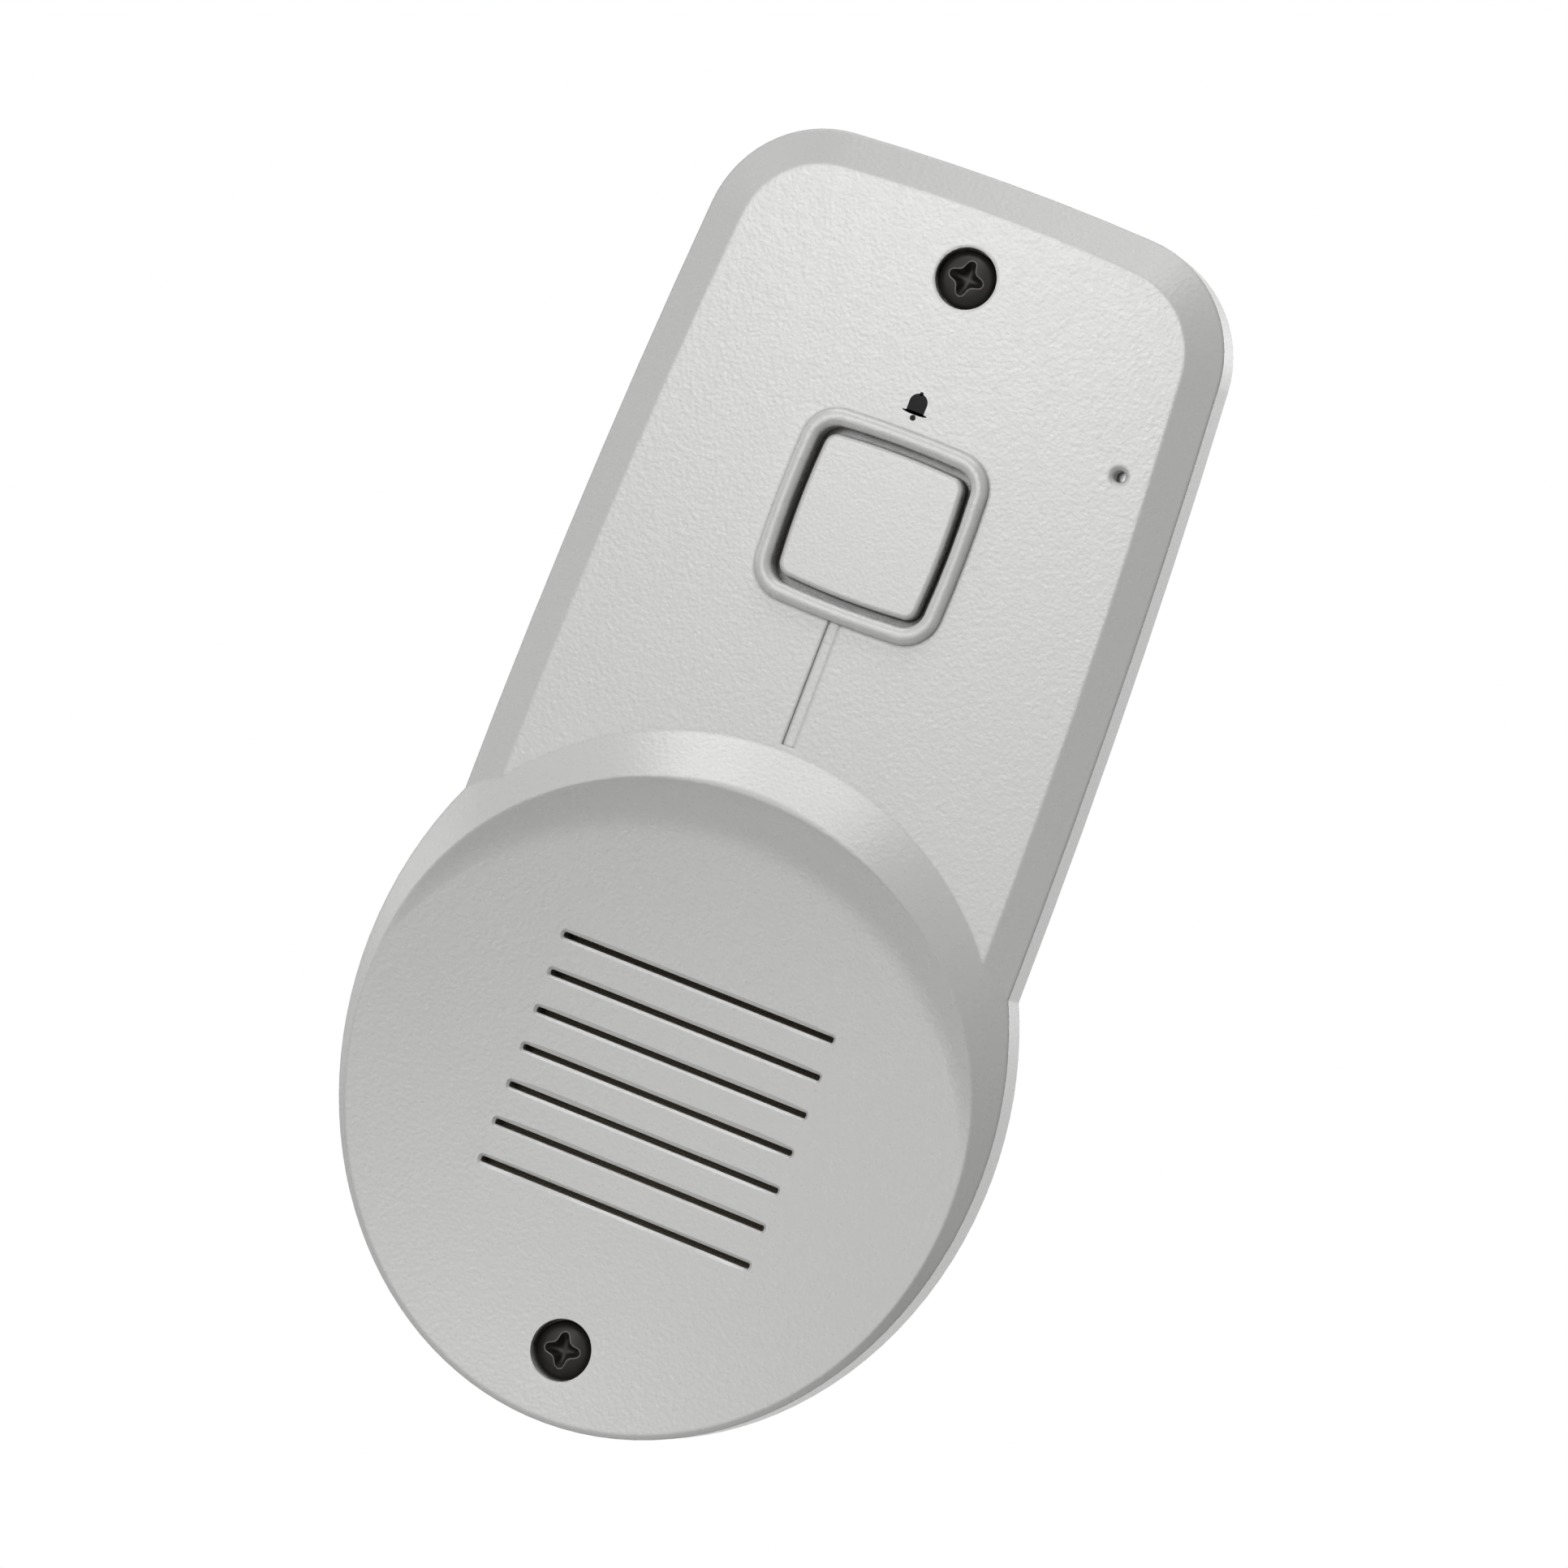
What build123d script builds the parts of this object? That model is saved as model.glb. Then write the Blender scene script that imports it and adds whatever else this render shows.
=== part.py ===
# Wall mounted door call station: a plate with one call key, and below it
# a round hooded dish with seven speaker slots.
#
# The frame: +Z is up and the front faces -Y. The wall is the plane Y = 0, and the origin lies
# on it, midway between the two wall screws. A depth is given as a height above the wall.
import os
from math import cos, pi, radians, sin, sqrt, tan

from build123d import *

os.makedirs("parts", exist_ok=True)

# Driving sizes of the outer form, in millimetres and degrees
cover_depth = 6.2           # bevel and skirt of the front cover together
bevel_depth = 1.1
bevel_run = 3.5             # width of the bevel seen from the front
wall = 2.0                  # moulded wall of both covers
dish_wall = 1.8             # thinnest place of the bowl's floor
floor_wall = 2.2            # flat back of the base cover

top_z = 52.1                # middle of the slightly arched top edge
top_corner_z = 50.75        # where the side and top arcs would meet without their round
top_half_width = 26.9
side_mid_z = 8.5
side_mid_half_width = 29.45
side_foot_z = -36.0         # hidden in the dish
side_foot_half_width = 29.9
top_corner_radius = 12.2

dish_z = -46.0              # centre of the dish
rim_margin = 10.2           # rim outside the speaker
rim_side_inset = 1.5        # the rim is a little narrower than high
rim_proud = 1.3             # middle of the rim above the plate's face
rim_tilt = 3.4              # the rim looks a little downwards, its top stands forward as a hood
rim_land = 0.5              # flat edge at the top of the hood
hood_ball_radius = 51.5     # hollow side of the hood
hood_ball_drop = 7.5        # so the hood runs out into the cone at both sides
bowl_floor_radius = 250.0   # the bowl's floor is a little hollow too
bowl_edge_radius = 33.1     # where the floor cuts the outer cone
bowl_edge_proud = 0.27
bowl_edge_tilt = 2.2
bowl_blend = 8.0            # large round between the hood and the floor
foot_side_spread = 1.4      # oval foot of the dish's outer cone, outside the rim
foot_height_spread = 5.9
foot_centre_rise = 4.4
foot_arch_spread = 4.5      # round top of the oval, outside the rim
foot_arch_rise = 2.0
foot_shoulder_round = 20.0
fine_round = 0.25

# Speaker slots, call key, microphone hole and guide groove on the front
slot_count = 7
slot_pitch = 4.01
slot_length = 29.8
slot_width = 0.6
slot_round = 0.2
slot_mouth = 0.28           # bevel all round the front of a slot
slot_centre_rise = 0.2

key_z = 15.3
key_half = 7.8
key_corner = 1.4
key_bow = 0.35              # how far each side bulges outwards
key_proud = 0.45            # key face above the plate's face
key_round = 0.45
key_gap = 0.75              # clearance between the key and its opening
key_travel = 1.0
key_flange_margin = 1.3
key_flange_thickness = 1.1
key_rest_clearance = 0.1
key_stem_radius = 2.6
key_stem_length = 0.7
key_cap_wall = 1.2
bead_width = 1.7
bead_height = 0.85
bead_round = 0.75

mic_x = 21.75
mic_z = 28.6
mic_hole_radius = 0.6
mic_sink_radius = 1.0

groove_width = 1.25
groove_depth = 0.2
groove_foot_z = -8.1

# Cover screws and their pillars
upper_screw_z = 41.7
lower_screw_inset = 5.85    # inside the foot of the rim
screw_head_radius = 3.0
screw_head_height = 1.9
screw_shank_radius = 1.75
screw_length = 12.0
screw_recess_clearance = 0.15
upper_head_sink = 1.8       # depth of the recess under the plate's face
lower_head_sink = 2.2       # depth of the recess under the bowl's floor
cross_span = 3.3
cross_width = 0.75
cross_depth = 1.15
cross_taper = 12.0
pillar_radius = 3.9
pillar_rise = 0.6           # pillars of the base above its edge
pilot_spare = 0.5

# Base cover
shadow_gap = 1.2            # base cover inset under the front cover
base_taper = 2.3            # further inset at the wall
seal_height = 0.8
seal_width = 1.0
tongue_height = 1.8
tongue_clearance = 0.2
wall_screw_spacing = 60.3
wall_screw_radius = 2.2
cable_hole_radius = 4.0
cable_collar_wall = 1.6
cable_collar_height = 2.0

# Circuit board and what it carries
component_room = 9.6        # between the base's floor and the back of the board
board_thickness = 1.6
board_half_width = 21.0
board_top_z = 34.0
board_foot_z = -17.0
board_corner = 1.5
board_screw_radius = 1.1
board_screw_head_radius = 2.1
board_screw_head_height = 1.2
board_screw_length = 5.5
board_hole_clearance = 0.15
board_boss_radius = 2.6
board_boss_inset = 3.0      # boss centres inside the board's edges
upper_boss_x = 14.0         # further in, past the microphone

switch_half = 4.0
switch_height = 3.5
switch_floor = 0.5
switch_roof = 0.6
switch_chamfer = 0.5
plunger_rise = 1.2          # plunger above the switch at rest
plunger_radius = 1.9
plunger_flange_radius = 2.6
plunger_flange_height = 0.6
plunger_clearance = 0.1
spring_wire_radius = 0.3
spring_radius = 6.5
spring_turns = 2.5

capsule_radius = 2.0
capsule_height = 1.8
boot_wall = 0.8
rib_width = 0.9             # locating ribs moulded inside the front cover

terminal_z = 20.0
terminal_width = 10.2
terminal_depth = 8.0
terminal_height = 8.4
terminal_pitch = 5.0
terminal_screw_radius = 1.5
terminal_slot_width = 0.5
terminal_well = 2.4
terminal_screw_sink = 0.6
wire_entry_width = 3.0
wire_entry_height = 3.2

capacitor_radius = 3.15
capacitor_height = 5.4
capacitor_base = 0.7
chip_length = 5.0
chip_width = 4.0
chip_height = 1.6
leg_count = 4
leg_pitch = 1.27
leg_width = 0.45
leg_length = 1.8
leg_thickness = 0.25
chip_stand = 0.2
resistor_length = 3.2
resistor_width = 1.6
resistor_height = 0.6
capacitor_points = [(-13.0, -4.0), (-13.0, 6.0)]
chip_point = (9.0, -7.0)
resistor_points = [(2.0, -6.0), (2.0, -9.0), (14.0, 3.0), (14.0, 6.0), (-13.0, 24.0), (-13.0, 21.0)]

# Speaker
speaker_radius = 22.3
speaker_rise = 0.2          # speaker axis above the dish's centre
locating_clearance = 0.3
mesh_margin = 0.5           # cloth inside the edge of the speaker
gasket_width = 2.3
gasket_height = 1.0
mesh_thickness = 0.3
flange_thickness = 0.8
flange_width = 3.7
basket_foot_margin = 0.4    # foot of the basket outside the magnet
basket_depth = 5.2
basket_sheet = 0.7
window_count = 4
window_radius = 2.4
surround_sheet = 0.3
surround_lip = 0.9          # glued edges of the soft ring
cone_edge_drop = 0.4        # glued edges behind the front of the speaker's flange
surround_roll = 1.8         # width of the soft ring's roll
cone_depth = 3.0
cone_sheet = 0.3
former_radius = 6.0
former_sheet = 0.25
coil_thickness = 0.4
coil_height = 2.6
coil_clearance = 0.4
top_plate_height = 1.2
magnet_radius = 11.0
magnet_height = 3.4
back_plate_height = 1.2
cap_rise = 1.6
clamp_ring_clearance = 0.4
clamp_boss_radius = 2.2
clamp_screw_radius = 1.1
clamp_head_radius = 3.2
clamp_head_height = 1.2
clamp_screw_length = 3.4
clamp_angles = [90, 210, 330]

# Heights above the wall that follow from them
board_boss_height = (
    key_rest_clearance + key_flange_thickness + key_stem_length + plunger_rise + switch_height
)
board_back = floor_wall + component_room
board_front = board_back + board_thickness
plate_inner = board_front + board_boss_height
face_height = plate_inner + wall
parting_height = face_height - cover_depth
skirt_front = face_height - bevel_depth
rim_radius = speaker_radius + rim_margin
foot_half_width = rim_radius + foot_side_spread
foot_half_height = rim_radius + foot_height_spread
foot_arch_radius = rim_radius + foot_arch_spread
rim_height = face_height + rim_proud
hood_height = rim_height + rim_radius * sin(radians(rim_tilt))
hood_z = dish_z + rim_radius * cos(radians(rim_tilt)) - rim_land
hood_ball_z = dish_z - hood_ball_drop
hood_ball_height = hood_height + sqrt(hood_ball_radius**2 - (hood_z - hood_ball_z) ** 2)
bowl_distance = sqrt(bowl_floor_radius**2 - bowl_edge_radius**2)
bowl_ball_z = dish_z - bowl_distance * sin(radians(bowl_edge_tilt))
bowl_ball_height = face_height + bowl_edge_proud + bowl_distance * cos(radians(bowl_edge_tilt))
dish_inner = bowl_ball_height - bowl_floor_radius - dish_wall
base_top = parting_height - seal_height
pillar_top = base_top + pillar_rise
lower_boss_x = board_half_width - board_boss_inset
board_boss_points = [
    (side * x, z)
    for x, z in (
        (upper_boss_x, board_top_z - board_boss_inset),
        (lower_boss_x, board_foot_z + board_boss_inset),
    )
    for side in (-1, 1)
]
opening_half = key_half + key_gap
key_flange_front = plate_inner - key_rest_clearance
key_flange_back = key_flange_front - key_flange_thickness
plunger_top = key_flange_back - key_stem_length
bead_outer = opening_half + bead_width
boot_radius = capsule_radius + boot_wall
upper_seat = face_height - upper_head_sink
lower_screw_z = dish_z - rim_radius + lower_screw_inset
lower_floor = bowl_ball_height - sqrt(bowl_floor_radius**2 - (lower_screw_z - bowl_ball_z) ** 2)
lower_seat = lower_floor - lower_head_sink
speaker_z = dish_z + speaker_rise
mesh_radius = speaker_radius - mesh_margin
gasket_inner_radius = speaker_radius - gasket_width
basket_inner_radius = speaker_radius - flange_width
basket_foot_radius = magnet_radius + basket_foot_margin
roll_outer_radius = basket_inner_radius - surround_lip
roll_radius = surround_roll / 2
cone_radius = roll_outer_radius - surround_roll
flange_front = dish_inner - mesh_thickness - gasket_height
flange_back = flange_front - flange_thickness
edge_height = flange_front - cone_edge_drop
basket_foot = flange_back - basket_depth
top_plate_front = basket_foot - basket_sheet
magnet_front = top_plate_front - top_plate_height
back_plate_front = magnet_front - magnet_height
clamp_circle = speaker_radius + clamp_ring_clearance + clamp_boss_radius


def level(height):
    """A sketch plane parallel to the wall, its normal pointing out of the wall."""
    return Plane.XZ.offset(height)


def plate_profile(inset):
    """The plate's outline, drawn inside by an inset."""
    foot = (side_foot_half_width - inset, side_foot_z)
    middle = (side_mid_half_width - inset, side_mid_z)
    corner = (top_half_width - inset, top_corner_z - inset)
    with BuildSketch() as profile:
        with BuildLine():
            ThreePointArc(foot, middle, corner)
            ThreePointArc(corner, (0, top_z - inset), (-corner[0], corner[1]))
            ThreePointArc((-corner[0], corner[1]), (-middle[0], middle[1]), (-foot[0], foot[1]))
            Line((-foot[0], foot[1]), foot)
        make_face()
        top_corners = profile.vertices().sort_by(Axis.Y)[-2:]
        fillet(top_corners, radius=top_corner_radius - inset)
    return profile.sketch


def foot_profile(inset):
    """The dish's oval foot, drawn inside by an inset."""
    with BuildSketch() as profile:
        with Locations((0, dish_z + foot_centre_rise)):
            Ellipse(foot_half_width - inset, foot_half_height - inset)
        with Locations((0, dish_z + foot_arch_rise)):
            Circle(foot_arch_radius - inset, mode=Mode.INTERSECT)
        shoulders = profile.vertices().sort_by(Axis.Y)[-2:]
        fillet(shoulders, radius=foot_shoulder_round - inset)
    return profile.sketch


def outline(inset):
    """Plate and dish together."""
    return plate_profile(inset) + foot_profile(inset)


def bowed_square(half, corner, bow):
    """A square with rounded corners whose sides bulge outwards."""
    edge = half - bow
    corners = [(edge, edge), (-edge, edge), (-edge, -edge), (edge, -edge)]
    middles = [(0, half), (-half, 0), (0, -half), (half, 0)]
    with BuildSketch() as profile:
        with BuildLine():
            for index, middle in enumerate(middles):
                ThreePointArc(corners[index], middle, corners[(index + 1) % 4])
        make_face()
        fillet(profile.vertices(), radius=corner)
    return profile.sketch


def facing_wall(height):
    """A sketch plane parallel to the wall, its normal pointing at the wall, local Y down."""
    return Plane(origin=(0, -height, 0), x_dir=(1, 0, 0), z_dir=(0, 1, 0))


def speaker_level(height):
    """Like level, with its origin on the speaker's axis."""
    return Plane(origin=(0, -height, speaker_z), x_dir=(1, 0, 0), z_dir=(0, -1, 0))


def pan_screw(head_radius, head_height, shank_radius, length):
    """A pan head screw, its seat at the origin and its head along +Z."""
    edge_height = head_height * 0.45
    with BuildPart() as screw:
        with BuildSketch(Plane.XZ):
            with BuildLine():
                shank = Polyline(
                    (0, head_height),
                    (0, -length),
                    (shank_radius, -length),
                    (shank_radius, 0),
                    (head_radius, 0),
                    (head_radius, edge_height),
                )
                ThreePointArc(
                    shank @ 1,
                    (head_radius * 0.72, head_height * 0.86),
                    (head_radius * 0.3, head_height),
                )
                Line((head_radius * 0.3, head_height), (0, head_height))
            make_face()
        revolve(axis=Axis.Z)
    return screw.part


speaker_half_plane = Plane(origin=(0, 0, speaker_z), x_dir=(1, 0, 0), z_dir=(0, 0, -1))
speaker_axis = Axis((0, 0, speaker_z), (0, -1, 0))

# Plane of the rim, its normal tilted downwards
rim_plane = Plane(
    origin=(0, -rim_height, dish_z),
    x_dir=(1, 0, 0),
    z_dir=(0, -cos(radians(rim_tilt)), -sin(radians(rim_tilt))),
)

# Cutter for the bowl: the hood's ball and the floor's much larger ball meet in a circle
with BuildPart() as bowl_cutter:
    with Locations((0, -hood_ball_height, hood_ball_z)):
        Sphere(hood_ball_radius)
    with Locations((0, -bowl_ball_height, bowl_ball_z)):
        Sphere(bowl_floor_radius, mode=Mode.INTERSECT)
    meeting_edge = bowl_cutter.edges().filter_by(GeomType.CIRCLE)
    fillet(meeting_edge, radius=bowl_blend)

# Front cover: skirt, bevelled plate and oblique dish cone, then hollow, bosses and openings
screw_points = [(0, upper_screw_z), (0, lower_screw_z)]
clamp_points = [
    (clamp_circle * cos(radians(angle)), speaker_z + clamp_circle * sin(radians(angle)))
    for angle in clamp_angles
]
front_reach = hood_height + wall

with BuildPart() as front_cover:
    with BuildSketch(level(parting_height)):
        add(outline(0))
    extrude(amount=skirt_front - parting_height)
    with BuildSketch(level(skirt_front)):
        add(plate_profile(0))
    with BuildSketch(level(face_height)):
        add(plate_profile(bevel_run))
    loft(ruled=True)
    with BuildSketch(level(skirt_front)):
        add(foot_profile(0))
    with BuildSketch(rim_plane):
        Ellipse(rim_radius - rim_side_inset, rim_radius)
    loft(ruled=True)
    add(bowl_cutter.part, mode=Mode.SUBTRACT)

    # Hollow: one depth behind the dish and a little more behind the plate
    with BuildSketch(level(parting_height)):
        add(outline(wall))
    extrude(amount=dish_inner - parting_height, mode=Mode.SUBTRACT)
    with BuildSketch(level(dish_inner)):
        add(plate_profile(wall))
        add(foot_profile(wall), mode=Mode.SUBTRACT)
    extrude(amount=plate_inner - dish_inner, mode=Mode.SUBTRACT)

    # Bosses for the cover screws, the board and the speaker's clamp screws, and the locating rings
    with BuildSketch(level(pillar_top)):
        with Locations(*screw_points):
            Circle(pillar_radius)
    extrude(amount=plate_inner - pillar_top)
    with BuildSketch(level(board_front)):
        with Locations(*board_boss_points):
            Circle(board_boss_radius)
    extrude(amount=plate_inner - board_front)
    with BuildSketch(level(flange_back)):
        with Locations(*clamp_points):
            Circle(clamp_boss_radius)
    extrude(amount=dish_inner - flange_back)
    with BuildSketch(level(flange_back + flange_thickness / 2)):
        with Locations((0, speaker_z)):
            Circle(speaker_radius + locating_clearance + rib_width)
            Circle(speaker_radius + locating_clearance, mode=Mode.SUBTRACT)
    extrude(amount=dish_inner - flange_back - flange_thickness / 2)
    with BuildSketch(level(plate_inner - capsule_height)):
        with Locations((mic_x, mic_z)):
            Circle(boot_radius + rib_width)
            Circle(boot_radius, mode=Mode.SUBTRACT)
    extrude(amount=capsule_height)

    # Raised bead round the call key, with its opening
    with BuildSketch(level(face_height)):
        with Locations((0, key_z)):
            add(bowed_square(bead_outer, key_corner + bead_outer - key_half, key_bow))
    extrude(amount=bead_height)
    with BuildSketch(level(plate_inner)):
        with Locations((0, key_z)):
            add(bowed_square(opening_half, key_corner + key_gap, key_bow))
    extrude(amount=wall + bead_height, mode=Mode.SUBTRACT)
    bead_top = front_cover.faces().filter_by(Axis.Y).sort_by(Axis.Y)[0]
    fillet(bead_top.edges(), radius=bead_round)

    # Guide groove from the bead down to the dish
    groove_top_z = key_z - bead_outer + bead_round
    with BuildSketch(level(face_height)):
        with Locations((0, (groove_top_z + groove_foot_z) / 2)):
            Rectangle(groove_width, groove_top_z - groove_foot_z)
    extrude(amount=-groove_depth, mode=Mode.SUBTRACT)

    # Microphone hole
    with Locations(level(face_height)):
        with Locations((mic_x, mic_z)):
            CounterSinkHole(mic_hole_radius, mic_sink_radius, depth=wall, counter_sink_angle=90)

    # Speaker slots
    with BuildSketch(level(dish_inner)):
        with Locations((0, dish_z + slot_centre_rise)):
            with GridLocations(slot_length, slot_pitch, 1, slot_count):
                RectangleRounded(slot_length, slot_width, slot_round)
    extrude(amount=front_reach - dish_inner, mode=Mode.SUBTRACT)
    bowl_floor = front_cover.faces().filter_by(GeomType.SPHERE).sort_by(SortBy.AREA)[-1]
    chamfer(bowl_floor.inner_wires().edges(), length=slot_mouth)

    # Recesses and through holes of the cover screws
    for point, seat in zip(screw_points, (upper_seat, lower_seat)):
        with BuildSketch(level(seat)):
            with Locations(point):
                Circle(screw_head_radius + screw_recess_clearance)
        extrude(amount=front_reach - seat, mode=Mode.SUBTRACT)
    with BuildSketch(level(pillar_top)):
        with Locations(*screw_points):
            Circle(screw_shank_radius + screw_recess_clearance)
    extrude(amount=front_reach - pillar_top, mode=Mode.SUBTRACT)

    # Pilot holes of the board and clamp screws
    with BuildSketch(level(board_front)):
        with Locations(*board_boss_points):
            Circle(board_screw_radius)
    extrude(amount=board_screw_length - board_thickness, mode=Mode.SUBTRACT)
    with BuildSketch(level(flange_back)):
        with Locations(*clamp_points):
            Circle(clamp_screw_radius)
    extrude(amount=clamp_screw_length, mode=Mode.SUBTRACT)

front_cover.part.label = "front_cover"
export_step(front_cover.part, "parts/front_cover.step")

# Base cover: drafted tray with screw pillars, wall screw holes and the cable's way in
with BuildPart() as base_cover:
    for profile in (plate_profile, foot_profile):
        with BuildSketch(level(0)):
            add(profile(shadow_gap + base_taper))
        with BuildSketch(level(base_top)):
            add(profile(shadow_gap))
        loft(ruled=True)
    for profile in (plate_profile, foot_profile):
        with BuildSketch(level(floor_wall)):
            add(profile(shadow_gap + base_taper + wall))
        with BuildSketch(level(base_top)):
            add(profile(shadow_gap + wall))
        loft(ruled=True, mode=Mode.SUBTRACT)
    with BuildSketch(level(base_top)):
        add(outline(wall + tongue_clearance))
        add(outline(shadow_gap + wall), mode=Mode.SUBTRACT)
    extrude(amount=seal_height + tongue_height)
    with BuildSketch(level(floor_wall)):
        with Locations(*screw_points):
            Circle(pillar_radius)
    extrude(amount=pillar_top - floor_wall)
    for point, seat in zip(screw_points, (upper_seat, lower_seat)):
        pilot_foot = seat - screw_length - pilot_spare
        with BuildSketch(level(pilot_foot)):
            with Locations(point):
                Circle(screw_shank_radius)
        extrude(amount=pillar_top - pilot_foot, mode=Mode.SUBTRACT)
    with BuildSketch(level(floor_wall)):
        Circle(cable_hole_radius + cable_collar_wall)
    extrude(amount=cable_collar_height)
    with BuildSketch(level(0)):
        Circle(cable_hole_radius)
    extrude(amount=floor_wall + cable_collar_height, mode=Mode.SUBTRACT)
    with BuildSketch(level(0)):
        with GridLocations(0, wall_screw_spacing, 1, 2):
            Circle(wall_screw_radius)
    extrude(amount=floor_wall, mode=Mode.SUBTRACT)

base_cover.part.label = "base_cover"
export_step(base_cover.part, "parts/base_cover.step")

# Rubber seal squeezed between the two covers
with BuildPart() as weather_seal:
    with BuildSketch(level(base_top)):
        add(outline(shadow_gap))
        add(outline(shadow_gap + seal_width), mode=Mode.SUBTRACT)
    extrude(amount=seal_height)

weather_seal.part.label = "weather_seal"
export_step(weather_seal.part, "parts/weather_seal.step")

# Two black pan head screws that hold the front cover
cover_screw = pan_screw(screw_head_radius, screw_head_height, screw_shank_radius, screw_length)
with BuildPart() as cover_screws:
    for point, seat in zip(screw_points, (upper_seat, lower_seat)):
        with Locations(level(seat)):
            with Locations(point):
                add(cover_screw)
        with BuildSketch(level(seat + screw_head_height)):
            with Locations(point):
                Rectangle(cross_span, cross_width)
                Rectangle(cross_width, cross_span)
        extrude(amount=-cross_depth, taper=cross_taper, mode=Mode.SUBTRACT)

cover_screws.part.label = "cover_screws"
export_step(cover_screws.part, "parts/cover_screws.step")

# Call key: bowed cap, retaining flange and stem
with BuildPart() as call_key:
    with BuildSketch(level(key_flange_front)):
        with Locations((0, key_z)):
            add(bowed_square(key_half, key_corner, key_bow))
    extrude(amount=face_height + key_proud - key_flange_front)
    key_face = call_key.faces().sort_by(Axis.Y)[0]
    fillet(key_face.edges(), radius=key_round)
    with BuildSketch(level(key_flange_back)):
        with Locations((0, key_z)):
            flange_half = opening_half + key_flange_margin
            add(bowed_square(flange_half, key_corner + flange_half - key_half, key_bow))
    extrude(amount=key_flange_thickness)
    with BuildSketch(level(key_flange_back)):
        with Locations((0, key_z)):
            Circle(spring_radius - spring_wire_radius * 2)
            Circle(key_stem_radius, mode=Mode.SUBTRACT)
    extrude(amount=key_flange_thickness + wall - key_cap_wall, mode=Mode.SUBTRACT)
    with BuildSketch(level(plunger_top)):
        with Locations((0, key_z)):
            Circle(key_stem_radius)
    extrude(amount=key_flange_back - plunger_top)

call_key.part.label = "call_key"
export_step(call_key.part, "parts/call_key.step")

# Coil spring that pushes the key back, standing on the board round the switch. Each half turn is
# two arcs that touch where they meet.
spring_height = key_flange_back - board_front - 2 * spring_wire_radius


def coil_point(share):
    """Point and direction on the spring's centre line, at a share of its height."""
    angle = 2 * pi * spring_turns * share
    height = board_front + spring_wire_radius + spring_height * share
    point = Vector(spring_radius * cos(angle), -height, key_z + spring_radius * sin(angle))
    climb = spring_height / (2 * pi * spring_turns)
    way = Vector(-spring_radius * sin(angle), -climb, spring_radius * cos(angle))
    return point, way.normalized()


def arc_joint(start, start_way, end, end_way):
    """Where two arcs meet that leave the start and reach the end in the given directions."""
    span = end - start
    ways = start_way + end_way
    bend = 2 * (1 - start_way.dot(end_way))
    reach = (sqrt(span.dot(ways) ** 2 + bend * span.dot(span)) - span.dot(ways)) / bend
    first, last = start + start_way * reach, end - end_way * reach
    return (first + last) * 0.5, (last - first).normalized()


with BuildPart() as key_spring:
    with BuildLine() as coil:
        half_turns = round(spring_turns * 2)
        for index in range(half_turns):
            start, start_way = coil_point(index / half_turns)
            end, end_way = coil_point((index + 1) / half_turns)
            middle, middle_way = arc_joint(start, start_way, end, end_way)
            TangentArc(start, middle, tangent=start_way)
            TangentArc(middle, end, tangent=middle_way)
    with BuildSketch(Plane(origin=coil.line @ 0, z_dir=coil.line % 0)):
        Circle(spring_wire_radius)
    sweep()

key_spring.part.label = "key_spring"
export_step(key_spring.part, "parts/key_spring.step")

# Push switch under the key
with BuildPart() as switch_body:
    with BuildSketch(level(board_front)):
        with Locations((0, key_z)):
            Rectangle(2 * switch_half, 2 * switch_half)
    extrude(amount=switch_height)
    chamfer(switch_body.edges().filter_by(Axis.Y), length=switch_chamfer)
    with BuildSketch(level(board_front + switch_floor)):
        with Locations((0, key_z)):
            Circle(plunger_flange_radius + plunger_clearance)
    extrude(amount=switch_height - switch_floor - switch_roof, mode=Mode.SUBTRACT)
    with BuildSketch(level(board_front + switch_floor)):
        with Locations((0, key_z)):
            Circle(plunger_radius + plunger_clearance)
    extrude(amount=switch_height - switch_floor, mode=Mode.SUBTRACT)

switch_body.part.label = "switch_body"
export_step(switch_body.part, "parts/switch_body.step")

plunger_flange_top = board_front + switch_height - switch_roof - plunger_clearance
with BuildPart() as switch_plunger:
    with BuildSketch(level(plunger_flange_top - plunger_flange_height)):
        with Locations((0, key_z)):
            Circle(plunger_flange_radius)
    extrude(amount=plunger_flange_height)
    with BuildSketch(level(plunger_flange_top)):
        with Locations((0, key_z)):
            Circle(plunger_radius)
    extrude(amount=plunger_top - plunger_flange_top)

switch_plunger.part.label = "switch_plunger"
export_step(switch_plunger.part, "parts/switch_plunger.step")

# Circuit board and its four screws
with BuildPart() as circuit_board:
    with BuildSketch(level(board_back)):
        with Locations((0, (board_top_z + board_foot_z) / 2)):
            RectangleRounded(2 * board_half_width, board_top_z - board_foot_z, board_corner)
        with Locations(*board_boss_points):
            Circle(board_screw_radius + board_hole_clearance, mode=Mode.SUBTRACT)
    extrude(amount=board_thickness)

circuit_board.part.label = "circuit_board"
export_step(circuit_board.part, "parts/circuit_board.step")

board_screw = pan_screw(
    board_screw_head_radius, board_screw_head_height, board_screw_radius, board_screw_length
)
with BuildPart() as board_screws:
    with Locations(facing_wall(board_back)):
        with Locations(*[(x, -z) for x, z in board_boss_points]):
            add(board_screw)

board_screws.part.label = "board_screws"
export_step(board_screws.part, "parts/board_screws.step")

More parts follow.
